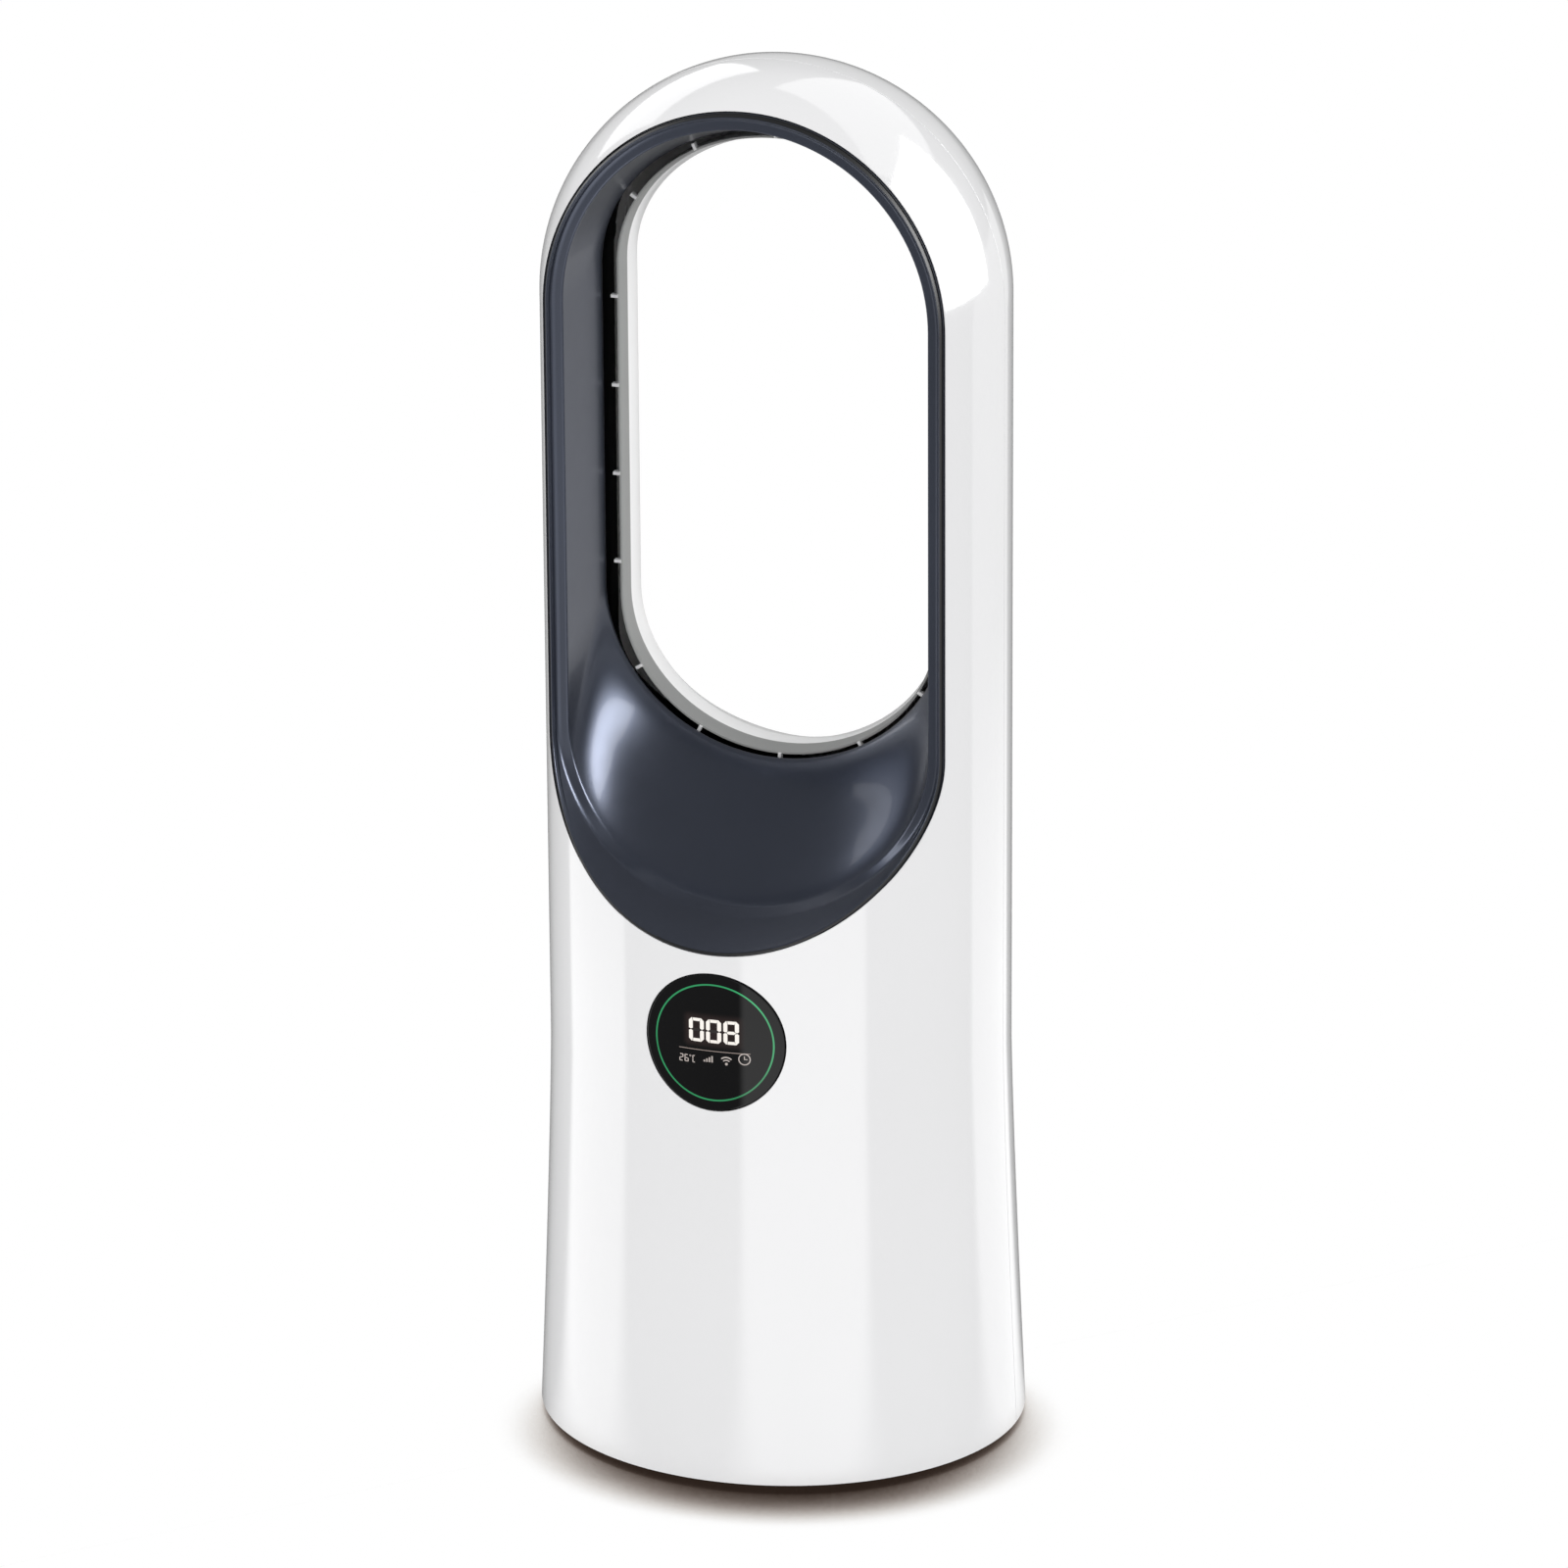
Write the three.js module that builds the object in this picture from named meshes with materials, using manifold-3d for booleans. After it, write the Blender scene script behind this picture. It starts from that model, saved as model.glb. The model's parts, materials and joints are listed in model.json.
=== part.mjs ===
import * as THREE from 'three';
import { mergeVertices } from 'three/addons/utils/BufferGeometryUtils.js';
import Module from 'manifold-3d';

const wasm = await Module();
wasm.setup();

// Bladeless tower fan. Millimetres, +Z up, front towards -Y, +X to the right seen from the front.
// The origin is on the floor, on the axis that the tower swivels about.

// ---------------------------------------------------------------- body of the tower
const bodyHalfWidth = 100;
const bodyHalfDepth = 93.4;
const bodyHeight = 607;
const flareWidth = 6.7;
const flareHeight = 175;
const flareCurve = 1.25;
const shellBottom = 4;
const shellWall = 2.5;
const domeHeight = bodyHalfWidth;
const domeZ = bodyHeight - domeHeight;

// ---------------------------------------------------------------- clearances
const fit = 0.3;
const runningFit = 0.5;
const seamGap = 0.3;
const cutMargin = 10;

// ---------------------------------------------------------------- front opening and throat
const rimWidth = 12.5;
const topRimWidth = 11.5;
const openingBottom = 242.2;
const openingBottomRadius = 79.4;
const lipWidth = 1.5;
const lipDepth = 5;
const linerWall = 2.2;
const ledgeWidth = 3.3;
const ledgeSideY = -44.6;
const ledgeBottomY = -66;
const ledgeRise = 7.4;
const creaseWidth = 7.8;
const creaseSideY = -44;
const creaseBottomY = -58;
const creaseRise = 9.8;
const throatTaper = 3.7;
const throatTopDrop = 10.2;
const throatRise = 46.1;
const throatEndY = -4;
const rollRadius = 5;
const rollSteps = [[0.3, 0.7], [1, 1]];
const throatSteps = [0, 0.3, 0.6, 0.85, 1];

// ---------------------------------------------------------------- nozzle ring behind the slot
const slotWidth = 5;
const slotDepth = 5;
const ringWall = 2.5;
const ringLipWall = 1;
const ringLipTaper = 1.6;
const ringLipRise = 6.1;
const ringCrown = 4;
const ringLipDepth = 4;
const ringThroatDepth = 22;
const ringCentreRise = 4.4;
const ringBottomRadius = 56;
const ringTopInset = 10.1;
const ringBottomInset = 2.3;
const rearRimWidth = 15;
const rearLipDepth = 12;
const rearOpeningRise = 27.8;
const rearOpeningRadius = 70;
const bellSteps = [0.35, 0.7];
const ribThickness = 1.6;
const ribLength = 4.4;
const ribWidth = 3.6;
const sideRibCount = 4;
const sideRibMargin = 14.2;
const arcRibAngles = [-64, -33, 0, 33, 64];
const sealWidth = 2;
const sealSetback = 9.5;

// ---------------------------------------------------------------- base
const footHeight = 3;
const footRadius = 9;
const footChamfer = 1;
const footCount = 4;
const basePlateMargin = 5.4;
const basePlateRadius = Math.min(bodyHalfWidth, bodyHalfDepth) - basePlateMargin;
const footInset = 14;
const footCircle = basePlateRadius - footInset;
const basePlateThickness = 2.5;
const baseRimWidth = 5;
const baseRimHeight = 3.6;
const baseWeightMargin = 1.65;
const baseWeightThickness = 3;
const glideRingThickness = 2.5;
const spindleRadius = 10;
const spindleBoreRadius = 5;
const spindleFlangeRadius = 20;
const spindleFlangeThickness = 2;
const spindleTopMargin = 3;
const spindleScrewCircle = 15;
const spindleScrewCount = 3;
const spindleScrewMargin = 0.9;

// ---------------------------------------------------------------- swivel drive
const gearModule = 1.5;
const gearTeeth = 40;
const pinionTeeth = 12;
const gearThickness = 3.6;
const pinionThickness = 3.4;
const gearBacklash = 0.5;
const gearAddendum = 0.85;
const pinionAddendum = 0.9;
const dedendum = 1.2;
const pressureAngle = 20 * Math.PI / 180;
const oscillationMotorRadius = 14;
const oscillationMotorHeight = 19;
const pinionShaftRadius = 2.5;
const earThickness = 1.5;
const earOffset = 17.5;
const earRadius = 3.6;

// ---------------------------------------------------------------- deck
const deckThickness = 3;
const hubWall = 4;
const hubHeight = 8.5;
const bushWall = 2.7;
const bushFlangeWidth = 3.2;
const bushFlangeThickness = 1.5;
const washerThickness = 1.2;
const washerWidth = 5.5;
const clipThickness = 1.2;
const clipGroove = 2;
const clipWidth = 4;
const clipMouth = 0.7;

// ---------------------------------------------------------------- screws
const screwRadius = 1.5;
const screwHeadRadius = 3.1;
const screwHeadHeight = 1.8;
const screwHeadTaper = 0.8;
const shellBossRadius = 5;
const shellBossHeight = 17;
const shellBossAngle = 43 * Math.PI / 180;
const shellBossInset = 5;
const shellBossWeb = 4.9;

// ---------------------------------------------------------------- electronics in the foot
const boardThickness = 1.6;
const boardStandoff = 6.5;
const boardStandoffRadius = 3.2;
const boardPostMargin = 2;
const powerBoardWidth = 48;
const powerBoardLength = 68;
const powerBoardInset = 40;
const powerBoardX = powerBoardInset - bodyHalfWidth;
const solderDepth = 0.5;
const transformer = { left: -0.8, right: 0.2, front: -0.8, back: -0.15, height: 18 };
const heatSink = { left: 0.45, right: 0.6, front: -0.6, back: 0.6, height: 20 };
const cableSocket = { left: 0.7, right: 0.95, front: -0.75, back: -0.45, height: 6 };
const capacitorRadius = 8;
const capacitorHeight = 24;
const capacitorX = -8.4;
const capacitorY = 17;
const sensorWidth = 38;
const sensorLength = 44;
const sensorHeight = 19;
const sensorInset = 38;
const sensorX = bodyHalfWidth - sensorInset;
const sensorPortRadius = 6;
const inletWidth = 26;
const inletHeight = 15;
const inletFlange = 2.6;
const inletDepth = 20;
const inletWall = 3.4;
const inletFloor = 4.4;
const inletSetback = 0.36;
const inletPinRadius = 1.2;
const inletPinSpacing = 8.6;
const inletPinLength = 11;

// ---------------------------------------------------------------- intake at the back
const coverSideMargin = 30;
const coverHalfWidth = bodyHalfWidth - coverSideMargin;
const coverBottom = 40;
const coverTop = 110;
const coverCorner = 8;
const slotRows = 7;
const slotColumns = 3;
const grilleBarWidth = 5.3;
const grilleSlotHeight = 3.6;
const grilleMargin = 8;
const filterInset = 10;
const filterDepth = 16;
const filterSetback = 27.4;
const filterFrontY = bodyHalfDepth - filterSetback - filterDepth;
const filterFrameWall = 4;
const filterSheet = 1;
const pleatCount = 18;
const pleatMargin = 1;

// ---------------------------------------------------------------- blower
const bulkheadBottom = 118;
const bulkheadThickness = 3;
const bellmouthThroat = 42;
const bellmouthWall = 2.5;
const bellmouthFlare = 13;
const bellmouthDepth = 7.4;
const bellmouthCollar = 7;
const bellmouthStep = 1;
const bellmouthRim = 2;
const casingRadius = 58;
const casingWall = 2.5;
const casingHeight = 79;
const casingFlangeWidth = 9.5;
const casingFlangeThickness = 2.5;
const mountRadius = 4.4;
const mountHeight = 5.7;
const mountCount = 3;
const mountWaist = 0.75;
const mountNeck = [0.3, 0.5, 0.7];
const impellerRadius = 52;
const impellerHeight = 24;
const impellerHubRadius = 12;
const impellerPlate = 2;
const impellerGap = 2;
const impellerHubCurve = [[3, 0.4], [12, 0.75]];
const bladeCount = 9;
const bladeThickness = 2;
const bladeSweep = 38 * Math.PI / 180;
const bladeInnerRadius = 20;
const bladeSteps = 4;
const shaftRadius = 2.5;
const shaftInMotor = 8;
const shaftEnd = 1;
const nutRadius = 5;
const nutHeight = 4;
const bearingRadius = 8;
const diffuserFloor = 4;
const diffuserTubeWall = 2.5;
const vaneCount = 9;
const vaneThickness = 2;
const vaneHeight = 24;
const motorRadius = 22;
const motorHeight = 35;
const motorChamfer = 2;
const motorTopGap = 2;
const isolatorWall = 7;
const isolatorHeight = 24;
const motorCapHeight = 8;
const motorCapFlange = 2.2;
const motorCapSteps = 4;

// ---------------------------------------------------------------- display
const displayDrop = 39.1;
const displayZ = openingBottom - displayDrop;
const lensRadius = 30.7;
const lensThickness = 2;
const lightRingRadius = 26.1;
const lightRingWidth = 2.2;
const displayBoardDepth = 11.4;
const displayBoardY = displayBoardDepth - bodyHalfDepth;
const displayHousingWall = 1.6;
const displayHousingDepth = 10;
const displayBoardSeat = 3;
const digitWidth = 34;
const digitHeight = 22;
const cableRadius = 2;
const cableSteps = 18;
const cableDrop = 20;
const cableLoop = 40;
const cableRise = 22;
const cableBends = [
  { across: 0.35, along: 0.2, rise: 1 },
  { across: 0.9, along: 0.85, rise: 0.64 },
  { across: 1, along: 1, rise: 0.23 },
  { across: 1, along: 1, rise: 0 },
];

// ---------------------------------------------------------------- finishes
const shellWhite = finish(0xf0f1f2, 0.18, 0);
const slate = finish(0x474c57, 0.16, 0.1);
const ringWhite = finish(0xe6e7e8, 0.3, 0);
const lensBlack = finish(0x1c1d1e, 0.08, 0);
const lightGreen = finish(0x3cc489, 0.4, 0);
const rubberBlack = finish(0x1b1b1c, 0.85, 0);
const plasticBlack = finish(0x2a2b2d, 0.5, 0);
const plasticGrey = finish(0x9a9da1, 0.5, 0);
const acetalWhite = finish(0xe9e6dc, 0.35, 0);
const steel = finish(0x9fa2a5, 0.35, 0.9);
const aluminium = finish(0xb4b6b9, 0.3, 0.9);
const brass = finish(0xb08d4a, 0.35, 0.9);
const boardGreen = finish(0x1f5a3c, 0.55, 0);
const filterPaper = finish(0xf2efe6, 0.9, 0);

function finish(colour, roughness, metalness) {
  return new THREE.MeshStandardMaterial({ color: colour, roughness, metalness });
}

// ---------------------------------------------------------------- solids
function signedVolume(position, index) {
  const a = new THREE.Vector3();
  const b = new THREE.Vector3();
  const c = new THREE.Vector3();
  let volume = 0;
  for (let i = 0; i < index.length; i += 3) {
    a.fromArray(position, 3 * index[i]);
    b.fromArray(position, 3 * index[i + 1]);
    c.fromArray(position, 3 * index[i + 2]);
    volume += a.dot(b.cross(c)) / 6;
  }
  return volume;
}

// A closed geometry as a solid: shared corners merged, collapsed triangles dropped, faces outwards.
function solid(geometry) {
  geometry.deleteAttribute('normal');
  geometry.deleteAttribute('uv');
  const merged = mergeVertices(geometry, 1e-4);
  const position = merged.attributes.position.array;
  const source = merged.index.array;
  const index = [];
  for (let i = 0; i < source.length; i += 3) {
    const [a, b, c] = [source[i], source[i + 1], source[i + 2]];
    if (a !== b && b !== c && c !== a) {
      index.push(a, b, c);
    }
  }
  if (signedVolume(position, index) < 0) {
    index.reverse();
  }
  const mesh = new wasm.Mesh({
    numProp: 3,
    vertProperties: Float32Array.from(position),
    triVerts: Uint32Array.from(index),
  });
  return new wasm.Manifold(mesh);
}

function geometryOf(body) {
  const mesh = body.getMesh();
  const geometry = new THREE.BufferGeometry();
  geometry.setAttribute('position', new THREE.BufferAttribute(mesh.vertProperties, 3));
  geometry.setIndex(new THREE.BufferAttribute(mesh.triVerts, 1));
  geometry.computeVertexNormals();
  return geometry;
}

function box(x0, x1, y0, y1, z0, z1) {
  const geometry = new THREE.BoxGeometry(x1 - x0, y1 - y0, z1 - z0);
  geometry.translate((x0 + x1) / 2, (y0 + y1) / 2, (z0 + z1) / 2);
  return solid(geometry);
}

function cylinder(radius, z0, z1, sides = 24, x = 0, y = 0) {
  const geometry = new THREE.CylinderGeometry(radius, radius, z1 - z0, sides);
  geometry.rotateX(Math.PI / 2);
  geometry.translate(x, y, (z0 + z1) / 2);
  return solid(geometry);
}

// A cylinder along Y.
function crossCylinder(radius, x, z, y0, y1, sides = 24) {
  const geometry = new THREE.CylinderGeometry(radius, radius, y1 - y0, sides);
  geometry.translate(x, (y0 + y1) / 2, z);
  return solid(geometry);
}

// A turned body about Z from [radius, z] pairs that start and end on the axis or close on themselves.
function turned(profile, sides = 24) {
  const points = profile.map(([radius, z]) => new THREE.Vector2(radius, z));
  const first = points[0];
  if (first.x > 0) {
    points.push(first.clone());
  }
  const geometry = new THREE.LatheGeometry(points, sides);
  geometry.rotateX(Math.PI / 2);
  return solid(geometry);
}

function tube(innerRadius, outerRadius, z0, z1, sides = 24) {
  return turned([[innerRadius, z0], [outerRadius, z0], [outerRadius, z1], [innerRadius, z1]], sides);
}

// An outline in X and Y, drawn up from z0 to z1.
function upright(outline, z0, z1) {
  const shape = new THREE.Shape(outline.map(([x, y]) => new THREE.Vector2(x, y)));
  const geometry = new THREE.ExtrudeGeometry(shape, { depth: z1 - z0, bevelEnabled: false });
  geometry.translate(0, 0, z0);
  return solid(geometry);
}

// An outline in X and Z, drawn along Y from y0 to y1.
function crosswise(outline, y0, y1) {
  const shape = new THREE.Shape(outline.map(([x, z]) => new THREE.Vector2(x, z)));
  const geometry = new THREE.ExtrudeGeometry(shape, { depth: y1 - y0, bevelEnabled: false });
  geometry.rotateX(Math.PI / 2);
  geometry.translate(0, y1, 0);
  return solid(geometry);
}

function joined(bodies) {
  return bodies.reduce((whole, body) => whole.add(body));
}

function mix(a, b, share) {
  return a + (b - a) * share;
}

// ---------------------------------------------------------------- the capsule
const shellSides = 64;
const lensSides = 48;
const cavitySides = 32;
const cavityRows = 3;
const cavityDomeRows = 6;
const flareRows = 4;
const domeRows = 11;
const depthScale = bodyHalfDepth / bodyHalfWidth;

function bodyRadius(z) {
  const share = Math.max(0, (flareHeight - z) / flareHeight);
  return bodyHalfWidth + flareWidth * Math.pow(share, flareCurve);
}

// The tower's outer form, inset by a wall, from a bottom height up to the crown.
function capsule(inset, bottom, sides, lowerRows, upperRows) {
  const profile = [[0, bottom]];
  for (let row = 0; row <= lowerRows; row++) {
    const z = mix(bottom, flareHeight, row / lowerRows);
    profile.push([bodyRadius(z) - inset, z]);
  }
  for (let row = 0; row < upperRows; row++) {
    const angle = row / upperRows * Math.PI / 2;
    const z = domeZ + (domeHeight - inset) * Math.sin(angle);
    profile.push([(bodyHalfWidth - inset) * Math.cos(angle), z]);
  }
  profile.push([0, bodyHeight - inset]);
  const points = profile.map(([radius, z]) => new THREE.Vector2(radius, z));
  const geometry = new THREE.LatheGeometry(points, sides);
  geometry.rotateX(Math.PI / 2);
  geometry.scale(1, depthScale, 1);
  return solid(geometry);
}

// Depth of the outer surface from the X-Z plane above the flare.
function surfaceDepth(x, z) {
  const rise = Math.max(0, z - domeZ) / domeHeight;
  return bodyHalfDepth * Math.sqrt(Math.max(0, 1 - (x / bodyHalfWidth) ** 2 - rise ** 2));
}

const bodySolid = capsule(0, shellBottom, shellSides, flareRows, domeRows);

// The space inside the shells, with a clearance to their wall.
function cavity(clearance) {
  return capsule(shellWall + clearance, shellBottom - cutMargin, cavitySides, cavityRows, cavityDomeRows);
}

const cavitySolid = cavity(0);
const innerSpace = cavity(fit);

// ---------------------------------------------------------------- ovals around the window
// An oval has straight sides, a half ellipse above them and one below them.
const topSteps = 16;
const bottomSteps = 20;

function makeOval(halfWidth, topCentre, topRadius, bottomCentre, bottomRadius) {
  return { halfWidth, topCentre, topRadius, bottomCentre, bottomRadius };
}

function mixOvals(a, b, share) {
  return makeOval(
    mix(a.halfWidth, b.halfWidth, share),
    mix(a.topCentre, b.topCentre, share),
    mix(a.topRadius, b.topRadius, share),
    mix(a.bottomCentre, b.bottomCentre, share),
    mix(a.bottomRadius, b.bottomRadius, share),
  );
}

function grownOval(oval, by) {
  return makeOval(
    oval.halfWidth + by,
    oval.topCentre,
    oval.topRadius + by,
    oval.bottomCentre,
    oval.bottomRadius + by,
  );
}

// Each station holds the place on the oval and how far it is down the lower half, from 0 to 1.
function stations(oval) {
  const list = [];
  for (let step = 0; step <= topSteps; step++) {
    const angle = step / topSteps * Math.PI;
    const x = oval.halfWidth * Math.cos(angle);
    list.push({ x, z: oval.topCentre + oval.topRadius * Math.sin(angle), low: 0 });
  }
  for (let step = 0; step <= bottomSteps; step++) {
    const angle = Math.PI + step / bottomSteps * Math.PI;
    const x = oval.halfWidth * Math.cos(angle);
    const z = oval.bottomCentre + oval.bottomRadius * Math.sin(angle);
    list.push({ x, z, low: Math.sin(angle) ** 2 });
  }
  return list;
}

function outline(oval) {
  return stations(oval).map(({ x, z }) => [x, z]);
}

// A rail follows an oval at one depth beside the window and another under it.
function rail(oval, sideY, bottomY) {
  return stations(oval).map(({ x, z, low }) => new THREE.Vector3(x, mix(sideY, bottomY, low), z));
}

// A rail on the outer surface, in front (side -1) or behind (side 1), sunk by a depth.
function surfaceRail(oval, side, sunk) {
  return stations(oval).map(({ x, z }) => new THREE.Vector3(x, side * (surfaceDepth(x, z) - sunk), z));
}

// The rail's points moved by a wall to the hidden side of the surface that the rails span.
function hiddenRail(rails, number, wall) {
  const before = rails[Math.max(0, number - 1)];
  const after = rails[Math.min(rails.length - 1, number + 1)];
  const here = rails[number];
  const count = here.length;
  return here.map((point, i) => {
    const along = here[(i + 1) % count].clone().sub(here[(i + count - 1) % count]);
    const across = after[i].clone().sub(before[i]);
    const normal = across.cross(along).normalize();
    return point.clone().addScaledVector(normal, wall);
  });
}

// A closed ring of surface: each rail runs round the window and the last one joins the first.
function railSolid(rails) {
  const count = rails[0].length;
  const corners = rails.flat().flatMap((point) => point.toArray());
  const index = [];
  for (let r = 0; r < rails.length; r++) {
    const next = (r + 1) % rails.length;
    for (let i = 0; i < count; i++) {
      const j = (i + 1) % count;
      const [a, b, c, d] = [r * count + i, r * count + j, next * count + j, next * count + i];
      index.push(a, b, c, a, c, d);
    }
  }
  const geometry = new THREE.BufferGeometry();
  geometry.setAttribute('position', new THREE.Float32BufferAttribute(corners, 3));
  geometry.setIndex(index);
  return solid(geometry);
}

const openingOval = makeOval(
  bodyHalfWidth - rimWidth,
  domeZ,
  domeHeight - topRimWidth,
  openingBottom + openingBottomRadius,
  openingBottomRadius,
);

// The ovals of the liner: its inner ledge, the sharp crease and the end of the throat.
const ledgeOval = makeOval(
  openingOval.halfWidth - ledgeWidth,
  domeZ,
  openingOval.topRadius - ledgeWidth,
  openingOval.bottomCentre,
  openingOval.bottomRadius - ledgeRise,
);
const creaseOval = makeOval(
  openingOval.halfWidth - creaseWidth,
  domeZ,
  openingOval.topRadius - creaseWidth,
  openingOval.bottomCentre,
  openingOval.bottomRadius - creaseRise,
);
const creaseTop = domeZ + creaseOval.topRadius;
const creaseBottom = openingBottom + creaseRise;
const throatHalfWidth = creaseOval.halfWidth - throatTaper;
const throatTop = creaseTop - throatTopDrop;
const throatBottom = creaseBottom + throatRise;
const ringTop = throatTop - ringTopInset;
const ringBottom = throatBottom + ringBottomInset;
const ringTopRadius = ringTop - domeZ - ringCentreRise;
const throatTopRadius = ringTopRadius + slotWidth;
const throatBottomRadius = ringBottomRadius + slotWidth;
const throatOval = makeOval(
  throatHalfWidth,
  throatTop - throatTopRadius,
  throatTopRadius,
  throatBottom + throatBottomRadius,
  throatBottomRadius,
);

// The scoop under the window starts shallow, steepens and rolls level before the slot.
function scoopShare(share) {
  return (share + share * share * (3 - 2 * share)) / 2;
}

function throatRail(share) {
  const oval = mixOvals(creaseOval, throatOval, share);
  const low = mix(creaseBottom, throatBottom, scoopShare(share));
  oval.bottomCentre = low + oval.bottomRadius;
  return rail(oval, mix(creaseSideY, throatEndY, share), mix(creaseBottomY, throatEndY, share));
}

function throatLiner() {
  const edge = grownOval(openingOval, -fit);
  const shown = [
    surfaceRail(grownOval(edge, -lipWidth), -1, 0),
    rail(ledgeOval, ledgeSideY, ledgeBottomY),
    ...throatSteps.map(throatRail),
    ...rollSteps.map(([out, back]) => {
      const oval = grownOval(throatOval, rollRadius * out);
      return rail(oval, throatEndY + rollRadius * back, throatEndY + rollRadius * back);
    }),
  ];
  const hidden = [];
  for (let number = shown.length - 1; number > 0; number--) {
    hidden.push(hiddenRail(shown, number, linerWall));
  }
  return railSolid([surfaceRail(edge, -1, 0), ...shown, ...hidden, surfaceRail(edge, -1, lipDepth)]);
}

const ringOval = makeOval(
  throatHalfWidth - slotWidth - ringLipTaper,
  ringTop - ringTopRadius,
  ringTopRadius,
  ringBottom + ringBottomRadius,
  ringBottomRadius,
);
const rearOval = makeOval(
  bodyHalfWidth - rearRimWidth,
  domeZ,
  domeHeight - rearRimWidth,
  openingBottom + rearOpeningRise + rearOpeningRadius,
  rearOpeningRadius,
);
// The lip stands further out than the throat at the sides and over the arch.
const ringLipOval = makeOval(
  ringOval.halfWidth + ringLipTaper,
  ringOval.topCentre,
  ringOval.topRadius + ringLipRise,
  ringOval.bottomCentre,
  ringOval.bottomRadius,
);
const ringLipY = throatEndY + slotDepth;
const ringThroatY = ringLipY + ringThroatDepth;

function ringRails() {
  const edge = grownOval(rearOval, -fit);
  const lip = grownOval(edge, -lipWidth);
  const sideEnd = surfaceDepth(lip.halfWidth, domeZ);
  const bell = bellSteps.map((share) => {
    const oval = mixOvals(ringOval, lip, share * share);
    return rail(oval, mix(ringThroatY, sideEnd, share), mix(ringThroatY, bodyHalfDepth, share));
  });
  const crown = grownOval(ringOval, fit);
  crown.topRadius += ringCrown;
  crown.bottomRadius -= ringCrown;
  return [
    rail(ringLipOval, ringLipY, ringLipY),
    rail(crown, ringLipY + ringLipDepth, ringLipY + ringLipDepth),
    rail(ringOval, ringThroatY, ringThroatY),
    ...bell,
    surfaceRail(lip, 1, 0),
  ];
}

// Small blocks on the ring's lip that set the width of the slot: a row up each side, a fan on each arc.
function ribPlaces() {
  const lip = ringLipOval;
  const places = [];
  const lowest = lip.bottomCentre + sideRibMargin;
  const highest = lip.topCentre - sideRibMargin;
  for (const side of [-1, 1]) {
    for (let number = 0; number < sideRibCount; number++) {
      const z = mix(lowest, highest, number / (sideRibCount - 1));
      places.push({ x: side * lip.halfWidth, z, outX: side, outZ: 0 });
    }
  }
  for (const degrees of arcRibAngles) {
    const [sin, cos] = [Math.sin(degrees * Math.PI / 180), Math.cos(degrees * Math.PI / 180)];
    const arcs = [[lip.topCentre, lip.topRadius, 1], [lip.bottomCentre, lip.bottomRadius, -1]];
    for (const [centre, radius, up] of arcs) {
      const outX = sin / lip.halfWidth;
      const outZ = up * cos / radius;
      places.push({ x: lip.halfWidth * sin, z: centre + up * radius * cos, outX, outZ });
    }
  }
  return places;
}

function spacerRibs() {
  return ribPlaces().map(({ x, z, outX, outZ }) => {
    const geometry = new THREE.BoxGeometry(ribWidth, ribLength, ribThickness);
    geometry.translate(ribWidth / 2 + ringLipWall / 2, 0, 0);
    geometry.rotateY(-Math.atan2(outZ, outX));
    geometry.translate(x, ringLipY + ribLength / 2 - ringLipWall, z);
    return solid(geometry);
  });
}

function nozzleRing() {
  const shown = ringRails();
  const hidden = [];
  for (let number = shown.length - 2; number > 0; number--) {
    hidden.push(hiddenRail(shown, number, ringWall));
  }
  hidden.push(hiddenRail(shown, 0, ringLipWall));
  const edge = grownOval(rearOval, -fit);
  const body = railSolid([...shown, surfaceRail(edge, 1, 0), surfaceRail(edge, 1, rearLipDepth), ...hidden]);
  return joined([body, ...spacerRibs()]);
}

function nozzleSeal() {
  const inner = rearOval;
  const outer = grownOval(rearOval, sealWidth);
  return railSolid([
    surfaceRail(inner, 1, sealSetback),
    surfaceRail(outer, 1, sealSetback),
    surfaceRail(outer, 1, sealSetback + sealWidth),
    surfaceRail(inner, 1, sealSetback + sealWidth),
  ]);
}

// ---------------------------------------------------------------- shells
const cornerSteps = 4;
const bossSides = 12;
const holeSides = 8;

function roundedRectangle(halfWidth, bottom, top, corner) {
  const points = [];
  const centres = [
    [halfWidth - corner, top - corner],
    [corner - halfWidth, top - corner],
    [corner - halfWidth, bottom + corner],
    [halfWidth - corner, bottom + corner],
  ];
  centres.forEach(([x, z], quarter) => {
    for (let step = 0; step <= cornerSteps; step++) {
      const angle = (quarter + step / cornerSteps) * Math.PI / 2;
      points.push([x + corner * Math.cos(angle), z + corner * Math.sin(angle)]);
    }
  });
  return points;
}

const reach = bodyHalfWidth + flareWidth + cutMargin;
const baseTop = footHeight + fit + basePlateThickness + baseRimHeight;
const deckBottom = baseTop + fit + glideRingThickness + 2 * fit;
const deckTop = deckBottom + deckThickness;
const inletZ = deckTop + inletFlange + inletHeight / 2 + runningFit;

// Bosses inside the shell take the screws that come up through the deck.
function shellBossPlaces(front) {
  const side = front ? -1 : 1;
  const inner = bodyRadius(deckTop) - shellWall - shellBossInset;
  const x = inner * Math.cos(shellBossAngle);
  const y = side * inner * Math.sin(shellBossAngle) * depthScale;
  return [[x, y], [-x, y]];
}

function withBosses(shell, front) {
  let result = shell;
  const bottom = deckTop + fit;
  const top = bottom + shellBossHeight;
  const outward = 1 + shellBossWeb / bodyRadius(deckTop);
  for (const [x, y] of shellBossPlaces(front)) {
    const post = cylinder(shellBossRadius, bottom, top, bossSides, x, y);
    const web = cylinder(shellBossRadius, bottom, top, bossSides, x * outward, y * outward);
    const hole = cylinder(screwRadius + fit, 0, top - shellWall, holeSides, x, y);
    result = result.add(post.add(web).intersect(bodySolid)).subtract(hole);
  }
  return result;
}

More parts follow.
